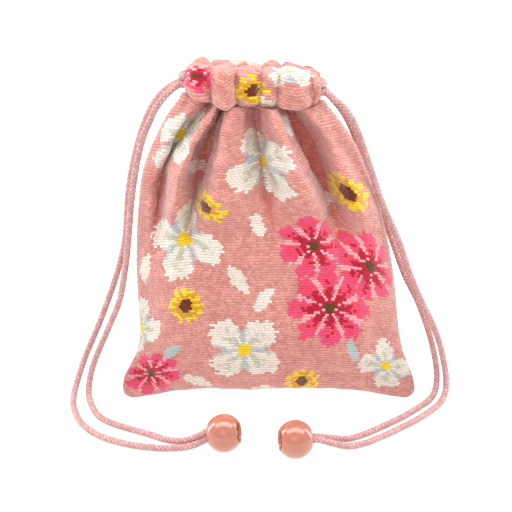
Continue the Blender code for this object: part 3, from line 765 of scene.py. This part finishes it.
def loop_route(cord_end):
    """A cord's hidden hairpin: through the front tunnel, round the far end and back through the other."""
    start = 1.0 - STRAND_START / (TUNNEL_LENGTH / 2)
    shares = [cord_end * (start - (start + 1.0) * k / HAIRPIN_STEPS) for k in range(1, HAIRPIN_STEPS + 1)]
    runs = []
    for side in (FRONT, BACK):
        inside, out = loop_end(side, cord_end)
        stub = [inside, inside - out * CORD_DIAMETER * 0.7]
        runs.append(stub + [cord_in_tunnel(share, side, cord_end) for share in shares])
    front, back = runs
    middle = (front[-1] + back[-1]) / 2
    half = (back[-1] - front[-1]) / 2
    bend = []
    for step in range(1, BEND_STEPS):
        angle = math.pi * step / BEND_STEPS
        out = Vector((-cord_end * half.y * 0.26 * math.sin(angle), 0.0, 0.0))
        bend.append(middle - half * math.cos(angle) + out)
    return front + bend + back[::-1]


def strand_start(side, cord_end):
    inside, out = loop_end(side, cord_end)
    return [inside + out * GAP, inside + out * STRAND_START, inside + out * STRAND_START * 2]


def bead_frame(name):
    """World matrix of a bead: its bore is the local Z axis, and the free end points up it."""
    x, y, turn, rise = BEADS[name]
    place = Matrix.Translation((x, y, BEAD_DIAMETER / 2))
    aim = Matrix.Rotation(math.radians(turn), 4, "Z") @ Matrix.Rotation(math.radians(90.0 - rise), 4, "Y")
    return place @ aim


def strand_end(name, index):
    """A strand's last stretch: outside the bead, at the edge of its bore, and inside at the knot's seat."""
    frame = bead_frame(name)
    turn = math.radians(STRANDS_IN_BEAD[name][index])
    off = CORD_SPACING / 2 * 0.9
    points = []
    for along in (-BEAD_DIAMETER * 0.58, -BEAD_DIAMETER * BEAD_FLAT, BEAD_SEAT - GAP):
        points.append(frame @ Vector((-math.sin(turn) * off, math.cos(turn) * off, along)))
    points[0].z -= SAG_AT_BEAD[name]
    return points


# Node helpers

def reckon(operation):
    return lambda one, *others: calc(one.tree, operation, one, *others)


class Reading:
    """A node output to reckon with. Each sum on it adds one Math node to its tree."""

    __add__, __sub__, __mul__ = reckon("ADD"), reckon("SUBTRACT"), reckon("MULTIPLY")
    __truediv__, __mod__, __pow__ = reckon("DIVIDE"), reckon("FLOORED_MODULO"), reckon("POWER")
    __lt__, __gt__, __abs__ = reckon("LESS_THAN"), reckon("GREATER_THAN"), reckon("ABSOLUTE")

    def __init__(self, tree, socket):
        self.tree = tree
        self.socket = socket

    def __rsub__(self, other):
        return calc(self.tree, "SUBTRACT", other, self)


def feed(tree, socket, value):
    if isinstance(value, Reading):
        tree.links.new(value.socket, socket)
    else:
        socket.default_value = value


def wired(tree, kind, inputs, **settings):
    """A node with its inputs fed by name or number. Gives its outputs in the same way."""
    node = tree.nodes.new(kind)
    for name, value in settings.items():
        setattr(node, name, value)
    for name, value in inputs.items():
        feed(tree, node.inputs[name], value)
    outputs = {}
    for index, socket in enumerate(node.outputs):
        outputs[index] = Reading(tree, socket)
        outputs.setdefault(socket.name, outputs[index])
    return outputs


def calc(tree, operation, *values):
    return wired(tree, "ShaderNodeMath", dict(enumerate(values)), operation=operation)["Value"]


def calc_vector(tree, operation, *values):
    return wired(tree, "ShaderNodeVectorMath", dict(enumerate(values)), operation=operation)


def split(tree, vector):
    parts = wired(tree, "ShaderNodeSeparateXYZ", {0: vector})
    return parts["X"], parts["Y"]


def join(tree, x, y):
    return wired(tree, "ShaderNodeCombineXYZ", {0: x, 1: y})["Vector"]


def noise(tree, place, scale, detail, **more):
    return wired(tree, "ShaderNodeTexNoise", dict(Vector=place, Scale=scale, Detail=detail, **more))


def cell_chance(tree, cell):
    """A random value for each whole cell."""
    return wired(tree, "ShaderNodeTexWhiteNoise", {"Vector": cell}, noise_dimensions="2D")["Value"]


def blend_colour(tree, factor, low, high, how="MIX"):
    settings = dict(data_type="RGBA", blend_type=how)
    return wired(tree, "ShaderNodeMix", {0: factor, 6: low, 7: high}, **settings)[2]


def ranged(tree, value, *limits):
    """Maps a value from between two limits to between 0 and 1, or to between the next two."""
    return wired(tree, "ShaderNodeMapRange", dict(enumerate((value, *limits))))["Result"]


def socket_kind(value):
    """The kind of socket that a start value needs. A text names the kind itself."""
    if isinstance(value, str):
        return value
    if isinstance(value, (int, float)):
        return type(value).__name__.title()
    return {3: "Vector", 4: "Color"}[len(value)]


def make_group(name, inputs, outputs, kind="ShaderNodeTree"):
    """A node group with named sockets, each given with its start value or its kind."""
    group = bpy.data.node_groups.new(name, kind)
    for in_out, sockets in (("INPUT", inputs), ("OUTPUT", outputs)):
        for label, value in sockets.items():
            named = dict(name=label.replace("_", " "), in_out=in_out)
            socket = group.interface.new_socket(socket_type="NodeSocket" + socket_kind(value), **named)
            if not isinstance(value, str):
                socket.default_value = value
    return group, wired(group, "NodeGroupInput", {})


def give_out(group, **values):
    wired(group, "NodeGroupOutput", values)
    return group


def use_group(tree, group, **values):
    inputs = {name.replace("_", " "): value for name, value in values.items()}
    return wired(tree, "ShaderNodeGroup", inputs, node_tree=group)


# Effects that several materials share

def stitch_grid_group():
    """Finds the stitch that a place on the cloth belongs to. Odd rows are moved half a stitch."""
    group, given = make_group(
        "stitch_grid",
        dict(Cloth=(0, 0, 0), Stitch=STITCH, Row=ROW),
        dict(Middle="Vector", Across="Float", Up="Float", Chance="Float"),
    )
    across, up = split(group, given["Cloth"])
    high = up / given["Row"]
    row = calc(group, "FLOOR", high)
    shift = row % 2.0 * 0.5
    along = across / given["Stitch"] + shift
    column = calc(group, "FLOOR", along)
    middle = join(group, (column + 0.5 - shift) * given["Stitch"], (row + 0.5) * given["Row"])
    chance = cell_chance(group, middle)
    return give_out(group, Middle=middle, Across=along - column, Up=high - row, Chance=chance)


def pile_group():
    """A stitch's soft domed tuft with loose fibres over it, and the painted shade in the groove around it."""
    group, given = make_group(
        "chenille_pile",
        dict(Across=0.5, Up=0.5, Chance=0.5, Fibres=0.35),
        dict(Height="Float", Groove="Float"),
    )
    place = wired(group, "ShaderNodeTexCoord", {})["Object"]
    soft_across = abs(calc(group, "SINE", given["Across"] * math.pi)) ** 0.45
    soft_up = abs(calc(group, "SINE", given["Up"] * math.pi)) ** 0.6
    dome = soft_up * calc(group, "MULTIPLY_ADD", soft_across, 0.75, 0.25)
    fibre = noise(group, place, 2400.0, 3.0, Roughness=0.7)[0]
    loose = (fibre - 0.5) * given["Fibres"]
    tall = dome * calc(group, "MULTIPLY_ADD", given["Chance"], 0.35, 0.75)
    return give_out(group, Height=tall + loose, Groove=ranged(group, dome + loose * 0.6, 0.78, 0.20))


def blossom_group():
    """Weaves one blossom over the cloth's colour: petals with a tip, a heart, veins and an eye."""
    group, given = make_group(
        "woven_blossom",
        dict(
            Cloth_Colour=GROUND, Place=(0, 0, 0), Centre=(0, 0, 0), Radius=0.02, Petals=5.0, Turn=0.0,
            Waist=0.4, Point=0.6, Chance=0.5, Rim=CREAM, Tip=CREAM, Heart=CREAM, Fold=MIST, Vein=MIST,
            Eye=SUN, Eye_Size=0.2,
        ),
        dict(Colour="Color"),
    )
    away = calc_vector(group, "SUBTRACT", given["Place"], given["Centre"])["Vector"]
    across, up = split(group, away)
    angle = calc(group, "ARCTAN2", up, across) + given["Turn"]
    wave = abs(calc(group, "COSINE", angle * given["Petals"] * 0.5))
    lobe = calc(group, "MULTIPLY_ADD", wave ** given["Point"], 1.0 - given["Waist"], given["Waist"])
    rough = calc(group, "MULTIPLY_ADD", given["Chance"], 0.14, 0.93)
    reach = calc_vector(group, "LENGTH", away)["Value"] * rough
    ring = reach / given["Radius"]
    inside = reach < lobe * given["Radius"]
    mixed = calc(group, "MULTIPLY_ADD", given["Chance"] - 0.5, 0.34, ring)
    petal = blend_colour(group, mixed > 0.44, given["Heart"], given["Tip"])
    petal = blend_colour(group, mixed / lobe > 0.93, petal, given["Rim"])
    petal = blend_colour(group, (wave < 0.42) * (mixed < 0.80), petal, given["Fold"])
    petal = blend_colour(group, (wave > 0.90) * (mixed < 0.58), petal, given["Vein"])
    flower = blend_colour(group, ring < given["Eye Size"], petal, given["Eye"])
    return give_out(group, Colour=blend_colour(group, inside, given["Cloth Colour"], flower))


def leaf_group():
    """Weaves one small pointed leaf over the cloth's colour."""
    group, given = make_group(
        "woven_leaf",
        dict(
            Cloth_Colour=GROUND, Place=(0, 0, 0), Centre=(0, 0, 0), Half_Length=0.008, Half_Width=0.003,
            Turn=0.0, Leaf=CREAM,
        ),
        dict(Colour="Color"),
    )
    inputs = {"Vector": given["Place"], "Center": given["Centre"], "Angle": given["Turn"]}
    turned = wired(group, "ShaderNodeVectorRotate", inputs, rotation_type="Z_AXIS")["Vector"]
    across, up = split(group, calc_vector(group, "SUBTRACT", turned, given["Centre"])["Vector"])
    along = across / given["Half Length"]
    inside = along * along + abs(up) / given["Half Width"] < 1.0
    return give_out(group, Colour=blend_colour(group, inside, given["Cloth Colour"], given["Leaf"]))


def braid_group():
    """A round braid: yarns that lean both ways and pass over one another, with painted shade between them."""
    group, given = make_group(
        "round_braid",
        dict(Cord=(0, 0, 0), Yarns=YARNS, Lay=LAY),
        dict(Height="Float", Groove="Float", Chance="Float"),
    )
    turns, runs = split(group, given["Cord"])
    around, along = turns * given["Yarns"], runs / given["Lay"]
    cells = []
    strips = []
    for lean in (around + along, around - along):
        cells.append(calc(group, "FLOOR", lean))
        strips.append(calc(group, "SINE", (lean - cells[-1]) * math.pi) ** 0.6)
    over = (cells[0] + cells[1]) % 2.0
    height = strips[0] * over + strips[1] * (1.0 - over)
    chance = cell_chance(group, join(group, *cells))
    return give_out(group, Height=height, Groove=ranged(group, height, 0.72, 0.15), Chance=chance)


# Materials

def plain_material(name, **sockets):
    material = bpy.data.materials.new(name)
    material.use_nodes = True
    shader = material.node_tree.nodes["Principled BSDF"]
    for label, value in sockets.items():
        shader.inputs[label.replace("_", " ")].default_value = value
    return material, material.node_tree, shader


def dress(tree, shader, colour, roughness, height, strength, distance):
    """Feeds a material's changing colour, roughness and bump into its shader."""
    bump = wired(tree, "ShaderNodeBump", dict(Strength=strength, Distance=distance, Height=height))
    feed(tree, shader.inputs["Base Color"], colour)
    feed(tree, shader.inputs["Roughness"], roughness)
    feed(tree, shader.inputs["Normal"], bump["Normal"])


BLOSSOM_DYES = {
    "dogwood": dict(
        Waist=0.36, Point=0.55, Rim=CREAM, Tip=CREAM, Heart=CREAM, Fold=MIST, Vein=SAGE, Eye=SUN,
        Eye_Size=0.17,
    ),
    "zinnia": dict(
        Waist=0.72, Point=0.70, Rim=ROSE, Tip=HOT_PINK, Heart=DEEP_RED, Fold=PALE_PINK, Vein=DEEP_RED,
        Eye=OLIVE, Eye_Size=0.15,
    ),
    "sunflower": dict(
        Waist=0.60, Point=0.60, Rim=SUN, Tip=SUN, Heart=GOLD, Fold=GOLD, Vein=GOLD, Eye=BROWN, Eye_Size=0.36,
    ),
}
# How far the rows wander, and the multipliers of the cloth's colour for its painted groove and valley shade
WANDER = (0.0012, 0.0010, 0.0)
GROOVE_SHADE = (0.69, 0.46, 0.45, 1.0)
VALLEY_SHADE = (0.90, 0.56, 0.52, 1.0)


def shaded(tree, colour, shade, amount):
    deep = blend_colour(tree, 1.0, colour, shade, "MULTIPLY")
    return blend_colour(tree, amount, colour, deep)


def chenille(name, groups, blossoms, leaves):
    """Chenille cloth with its own spread of woven blossoms and leaves."""
    material, tree, shader = plain_material(
        name,
        Sheen_Weight=1.0,
        Sheen_Roughness=0.38,
        Sheen_Tint=(1.0, 0.93, 0.91, 1.0),
        Specular_IOR_Level=0.12,
    )
    cloth = wired(tree, "ShaderNodeUVMap", {}, uv_map="cloth")["UV"]
    # The rows wander a little, as hand-finished cloth does
    wander = noise(tree, cloth, 210.0, 1.0)["Color"]
    moved = calc_vector(tree, "MULTIPLY_ADD", wander, WANDER, cloth)["Vector"]
    grid = use_group(tree, groups["stitch"], Cloth=moved)
    chance = grid["Chance"]
    drift = noise(tree, cloth, 55.0, 2.0)[0]
    heather = calc(tree, "MULTIPLY_ADD", chance, 0.45, drift * 0.40)
    colour = blend_colour(tree, heather, GROUND, GROUND_DEEP)
    for across, up, length, width, turn, leaf in leaves:
        colour = use_group(
            tree, groups["leaf"], Cloth_Colour=colour, Place=grid["Middle"], Centre=(across, up, 0.0),
            Half_Length=length, Half_Width=width, Turn=math.radians(turn), Leaf=leaf,
        )["Colour"]
    for kind, across, up, radius, petals, turn in blossoms:
        colour = use_group(
            tree, groups["blossom"], Cloth_Colour=colour, Place=grid["Middle"], Centre=(across, up, 0.0),
            Radius=radius, Petals=float(petals), Turn=math.radians(turn), Chance=chance, **BLOSSOM_DYES[kind],
        )["Colour"]
    pile = use_group(tree, groups["pile"], Across=grid["Across"], Up=grid["Up"], Chance=chance)
    uneven = ranged(tree, chance, 0.0, 1.0, 1.06, 0.94)
    tone = wired(tree, "ShaderNodeCombineColor", dict.fromkeys(range(3), uneven))["Color"]
    colour = blend_colour(tree, 1.0, colour, tone, "MULTIPLY")
    # Painted shade in the grooves between the tufts
    colour = shaded(tree, colour, GROOVE_SHADE, pile["Groove"] * 0.66)
    # Painted shade: the cloth's colour is darkened along the valleys of its folds
    painted_valley_shade = wired(tree, "ShaderNodeAttribute", {}, attribute_name="painted_valley_shade")["Fac"]
    colour = shaded(tree, colour, VALLEY_SHADE, painted_valley_shade * 0.75)
    dress(tree, shader, colour, ranged(tree, chance, 0.0, 1.0, 0.82, 0.96), pile["Height"], 0.85, 0.0005)
    return material


def braided(name, groups):
    material, tree, shader = plain_material(
        name, Sheen_Weight=0.25, Sheen_Roughness=0.4, Specular_IOR_Level=0.3,
    )
    cord = wired(tree, "ShaderNodeUVMap", {}, uv_map="cord")["UV"]
    braid = use_group(tree, groups["braid"], Cord=cord)
    base = blend_colour(tree, braid["Chance"], dye(220, 175, 172), dye(198, 149, 147))
    # Painted shade in the grooves between the yarns
    colour = blend_colour(tree, braid["Groove"], base, dye(150, 84, 90))
    roughness = ranged(tree, braid["Chance"], 0.0, 1.0, 0.62, 0.78)
    dress(tree, shader, colour, roughness, braid["Height"], 0.8, 0.00025)
    return material


def moulded_resin(name):
    """Glossy opaque resin with faint swirls and finger marks."""
    material, tree, shader = plain_material(
        name, Coat_Weight=1.0, Coat_Roughness=0.03, Subsurface_Weight=0.12, Subsurface_Scale=0.002,
        Subsurface_Radius=(1.0, 0.35, 0.25),
    )
    place = wired(tree, "ShaderNodeTexCoord", {})["Object"]
    swirl = noise(tree, place, 160.0, 2.0, Distortion=1.2)[0]
    marks = noise(tree, place, 700.0, 4.0)[0]
    base = blend_colour(tree, swirl, dye(193, 117, 94), dye(183, 108, 87))
    dress(tree, shader, base, ranged(tree, marks, 0.35, 0.70, 0.10, 0.24), swirl, 0.06, 0.0003)
    return material


# Braided cords, swept along their routes by Geometry Nodes

def store(tree, label, geometry, value, data_type="FLOAT", domain="POINT"):
    """Stores a value on a geometry as a named attribute."""
    inputs = {"Name": label, "Geometry": geometry, "Value": value}
    kind = "GeometryNodeStoreNamedAttribute"
    return wired(tree, kind, inputs, data_type=data_type, domain=domain)["Geometry"]


def braided_cord_tree():
    tree, given = make_group(
        "braided_cord",
        dict(
            Geometry="Geometry", Diameter=CORD_DIAMETER, Sides=20, Step=0.00055, Yarns=YARNS, Lay=LAY,
            Relief=BRAID_RELIEF, Material="Material",
        ),
        dict(Geometry="Geometry"),
        "GeometryNodeTree",
    )
    inputs = {"Curve": given["Geometry"], "Length": given["Step"]}
    line = wired(tree, "GeometryNodeResampleCurve", inputs, mode="LENGTH")["Curve"]
    line = store(tree, "along", line, wired(tree, "GeometryNodeSplineParameter", {})["Length"])
    inputs = {"Resolution": given["Sides"], "Radius": given["Diameter"] * 0.5, "Sweep Angle": 2 * math.pi}
    rim = wired(tree, "GeometryNodeCurveArc", inputs, mode="RADIUS")["Curve"]
    rim = store(tree, "around", rim, wired(tree, "GeometryNodeSplineParameter", {})["Factor"])
    mesh = wired(tree, "GeometryNodeCurveToMesh", {"Curve": line, "Profile Curve": rim})["Mesh"]
    around, along = [
        wired(tree, "GeometryNodeInputNamedAttribute", {"Name": label}, data_type="FLOAT")["Attribute"]
        for label in ("around", "along")
    ]
    mesh = store(tree, "cord", mesh, join(tree, around, along), "FLOAT2", "CORNER")
    turns, runs = around * given["Yarns"], along / given["Lay"]
    domes = [abs(calc(tree, "SINE", lean * math.pi)) for lean in (turns + runs, turns - runs)]
    height = calc(tree, "MAXIMUM", *domes) - 0.7
    normal = wired(tree, "GeometryNodeInputNormal", {})["Normal"]
    inputs = {0: normal, "Scale": height * given["Relief"]}
    push = wired(tree, "ShaderNodeVectorMath", inputs, operation="SCALE")["Vector"]
    mesh = wired(tree, "GeometryNodeSetPosition", {"Geometry": mesh, "Offset": push})["Geometry"]
    mesh = wired(tree, "GeometryNodeMergeByDistance", {"Geometry": mesh, "Distance": 0.00002})["Geometry"]
    mesh = wired(tree, "GeometryNodeRealizeInstances", {0: mesh})["Geometry"]
    inputs = {"Geometry": mesh, "Material": given["Material"]}
    wired(tree, "NodeGroupOutput", {0: wired(tree, "GeometryNodeSetMaterial", inputs)["Geometry"]})
    return tree


def sweep_cord(name, route, tree, material, closed=False, **sizes):
    """A braided cord along a route, as a plain closed mesh."""
    line = bpy.data.curves.new(name, "CURVE")
    line.dimensions = "3D"
    spline = line.splines.new("POLY")
    spline.points.add(len(route) - 1)
    spline.points.foreach_set("co", np.hstack([route, np.ones((len(route), 1))]).ravel())
    spline.use_cyclic_u = closed
    guide = add_piece(name + "_guide", line)
    sweep = guide.modifiers.new("sweep", "NODES")
    sweep.node_group = tree
    sockets = {item.name: item.identifier for item in tree.interface.items_tree if item.in_out == "INPUT"}
    sweep[sockets["Material"]] = material
    for label, value in sizes.items():
        sweep[sockets[label]] = value
    done = guide.evaluated_get(bpy.context.evaluated_depsgraph_get())
    mesh = bpy.data.meshes.new_from_object(done)
    bpy.data.objects.remove(guide)
    mesh.name = name
    work = bmesh.new()
    work.from_mesh(mesh)
    bmesh.ops.holes_fill(work, edges=work.edges, sides=0)
    bmesh.ops.recalc_face_normals(work, faces=work.faces)
    finish_mesh(work, mesh)
    return add_piece(name, mesh)


# Beads and knots

# Steps over a bead's ball, round its bore and along a knot. Then how far a knot's line lies from its
# middle, how much that changes, and how far the line goes up and down
BEAD_RINGS = 32
BEAD_SIDES = 72
KNOT_STEPS = 120
KNOT_REACH = 0.0021
KNOT_CHANGE = 0.0010
KNOT_RISE = 0.0013


def add_bead(name, bead, material):
    """A drilled ball turned from a finely rounded profile."""
    radius = BEAD_DIAMETER / 2
    flat = BEAD_DIAMETER * BEAD_FLAT
    top = math.asin(flat / radius)
    lip = 0.0004
    mouth, bore = BEAD_MOUTH / 2, BEAD_BORE / 2
    profile = [(mouth, BEAD_SEAT), (mouth, flat - lip)]
    profile += [(mouth + lip * 0.3, flat - lip * 0.3), (mouth + lip, flat + 0.0001)]
    for step in range(BEAD_RINGS + 1):
        angle = top - 2 * top * step / BEAD_RINGS
        profile.append((radius * math.cos(angle), radius * math.sin(angle)))
    profile += [(bore + lip, -flat), (bore + lip * 0.3, -flat + lip * 0.3)]
    profile += [(bore, -flat + lip), (bore, BEAD_SEAT)]
    work = bmesh.new()
    points = [work.verts.new((x, 0.0, z)) for x, z in profile]
    edges = [work.edges.new(pair) for pair in zip(points, points[1:] + points[:1])]
    bmesh.ops.spin(
        work, geom=points + edges, cent=(0, 0, 0), axis=(0, 0, 1), angle=2 * math.pi, steps=BEAD_SIDES,
        use_duplicate=False,
    )
    bmesh.ops.remove_doubles(work, verts=work.verts, dist=1e-6)
    bmesh.ops.recalc_face_normals(work, faces=work.faces)
    bmesh.ops.transform(work, matrix=bead_frame(bead), verts=work.verts)
    mesh = bpy.data.meshes.new(name)
    finish_mesh(work, mesh)
    mesh.set_sharp_from_angle(angle=math.radians(40))
    return add_piece(name, mesh, material)


def knot_route(bead):
    """A small closed knot, seated in the bead's wide mouth."""
    frame = bead_frame(bead) @ Matrix.Translation((0.0, 0.0, BEAD_SEAT + GAP + KNOT_LENGTH / 2))
    points = []
    for step in range(KNOT_STEPS):
        turn = 2 * math.pi * step / KNOT_STEPS
        out = KNOT_REACH + KNOT_CHANGE * math.cos(3 * turn)
        up = KNOT_RISE * math.sin(3 * turn)
        points.append(tuple(frame @ Vector((out * math.cos(2 * turn), out * math.sin(2 * turn), up))))
    return np.array(points)


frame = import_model()

# The camera at the photograph's angle
camera = bpy.data.objects.new("camera", bpy.data.cameras.new("camera"))
camera.location = (-0.0073, -0.5826, 0.2970)
camera.rotation_euler = (math.radians(70), 0.0, 0.0)
camera.data.sensor_width = 36.0
camera.data.lens = 36.0 * 1123 / 512
camera.data.clip_start = 0.01
bpy.context.scene.collection.objects.link(camera)
bpy.context.scene.camera = camera

groups = {
    "stitch": stitch_grid_group(),
    "pile": pile_group(),
    "blossom": blossom_group(),
    "leaf": leaf_group(),
    "braid": braid_group(),
}
braid_finish = braided("braided_cord", groups)
resin = moulded_resin("bead_resin")

# Cords, beads and knots
cord_tree = braided_cord_tree()
for end, cord_end in (("left", -1.0), ("right", 1.0)):
    hairpin = smooth_route(loop_route(cord_end))
    loop = sweep_cord(f"{end}_cord_in_tunnels", hairpin, cord_tree, braid_finish)
    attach(loop, "root")
    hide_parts(f"cord_{end}_loop")
    bead = add_bead(f"{end}_bead", end, resin)
    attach(bead, "root")
    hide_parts(f"bead_{end}")
    knot = sweep_cord(
        f"{end}_end_knot", knot_route(end), cord_tree, braid_finish, closed=True, Diameter=KNOT_CORD,
    )
    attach(knot, "root")
    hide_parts(f"knot_{end}")
    for index, (face, side) in enumerate((("front", FRONT), ("back", BACK))):
        key = f"{end}_{face}"
        free = [Vector([part / 10000 for part in point]) for point in ROUTES[key]]
        route = smooth_route(strand_start(side, cord_end) + free + strand_end(end, index))
        strand = sweep_cord(f"{key}_strand", route, cord_tree, braid_finish)
        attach(strand, "root")
        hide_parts(f"cord_{key}")
        cord_in_tunnel(cord_end, side, cord_end)
        [bead, knot] if face == "front" else []

# Cloth
front_cloth = chenille("chenille_front", groups, FRONT_BLOSSOMS, FRONT_LEAVES)
back_cloth = chenille("chenille_back", groups, BACK_BLOSSOMS, BACK_LEAVES)
front_hem_cloth = chenille("chenille_front_hem", groups, HEM_BLOSSOMS, HEM_LEAVES)
back_hem_cloth = chenille("chenille_back_hem", groups, BACK_HEM_BLOSSOMS, ())
for face, side, folds, fold_size, grooves, slits, cloth, hem_cloth, seed in (
    ("front", FRONT, FRONT_FOLDS, FRONT_FOLD, FRONT_GROOVES, FRONT_SLITS, front_cloth, front_hem_cloth, 11),
    ("back", BACK, BACK_FOLDS, BACK_FOLD, BACK_GROOVES, (), back_cloth, back_hem_cloth, 47),
):
    panel = add_panel(f"{face}_cloth", side, folds, fold_size, seed, cloth)
    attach(panel, "root")
    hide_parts(f"{face}_panel")
    hem = add_tunnel(f"{face}_gathered_hem", side, grooves, slits, seed + 100, hem_cloth)
    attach(hem, "root")
    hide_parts(f"{face}_casing")

# Floor and light
work = bmesh.new()
bmesh.ops.create_grid(work, x_segments=1, y_segments=1, size=4.0)
floor_mesh = bpy.data.meshes.new("floor")
work.to_mesh(floor_mesh)
work.free()
floor_finish, _, _ = plain_material(
    "floor_white", Base_Color=(0.36, 0.36, 0.36, 1.0), Roughness=0.6,
    Emission_Color=(1.0, 1.0, 1.0, 1.0), Emission_Strength=0.85,
)
floor = add_piece("floor", floor_mesh, floor_finish)


def add_light(name, place, aim, size, power):
    data = bpy.data.lights.new(name, "AREA")
    data.shape = "RECTANGLE"
    data.size, data.size_y = size
    data.energy = power
    light = bpy.data.objects.new(name, data)
    light.location = place
    light.rotation_euler = (Vector(aim) - Vector(place)).to_track_quat("-Z", "Y").to_euler()
    bpy.context.scene.collection.objects.link(light)


add_light("overhead_softbox", (-0.03, -0.14, 0.95), (-0.03, -0.02, 0.08), (2.0, 0.50), 12.1)
add_light("front_fill", (-0.12, -0.98, 0.50), (0.0, 0.0, 0.08), (0.6, 0.6), 0.9)
add_light("left_rim", (-0.75, 0.20, 0.30), (0.0, 0.0, 0.09), (0.25, 0.7), 2.6)
add_light("right_rim", (0.75, 0.20, 0.30), (0.0, 0.0, 0.09), (0.25, 0.7), 2.1)
world = bpy.data.worlds.new("studio")
world.use_nodes = True
world.node_tree.nodes["Background"].inputs["Color"].default_value = (1.0, 1.0, 1.0, 1.0)
# The camera sees more of the world's white than it gives as light
studio = world.node_tree
seen = wired(studio, "ShaderNodeLightPath", {})["Is Camera Ray"]
glow = calc(studio, "MULTIPLY_ADD", seen, 0.36, 0.70)
feed(studio, studio.nodes["Background"].inputs["Strength"], glow)
bpy.context.scene.world = world
bpy.context.scene.view_settings.view_transform = "Standard"
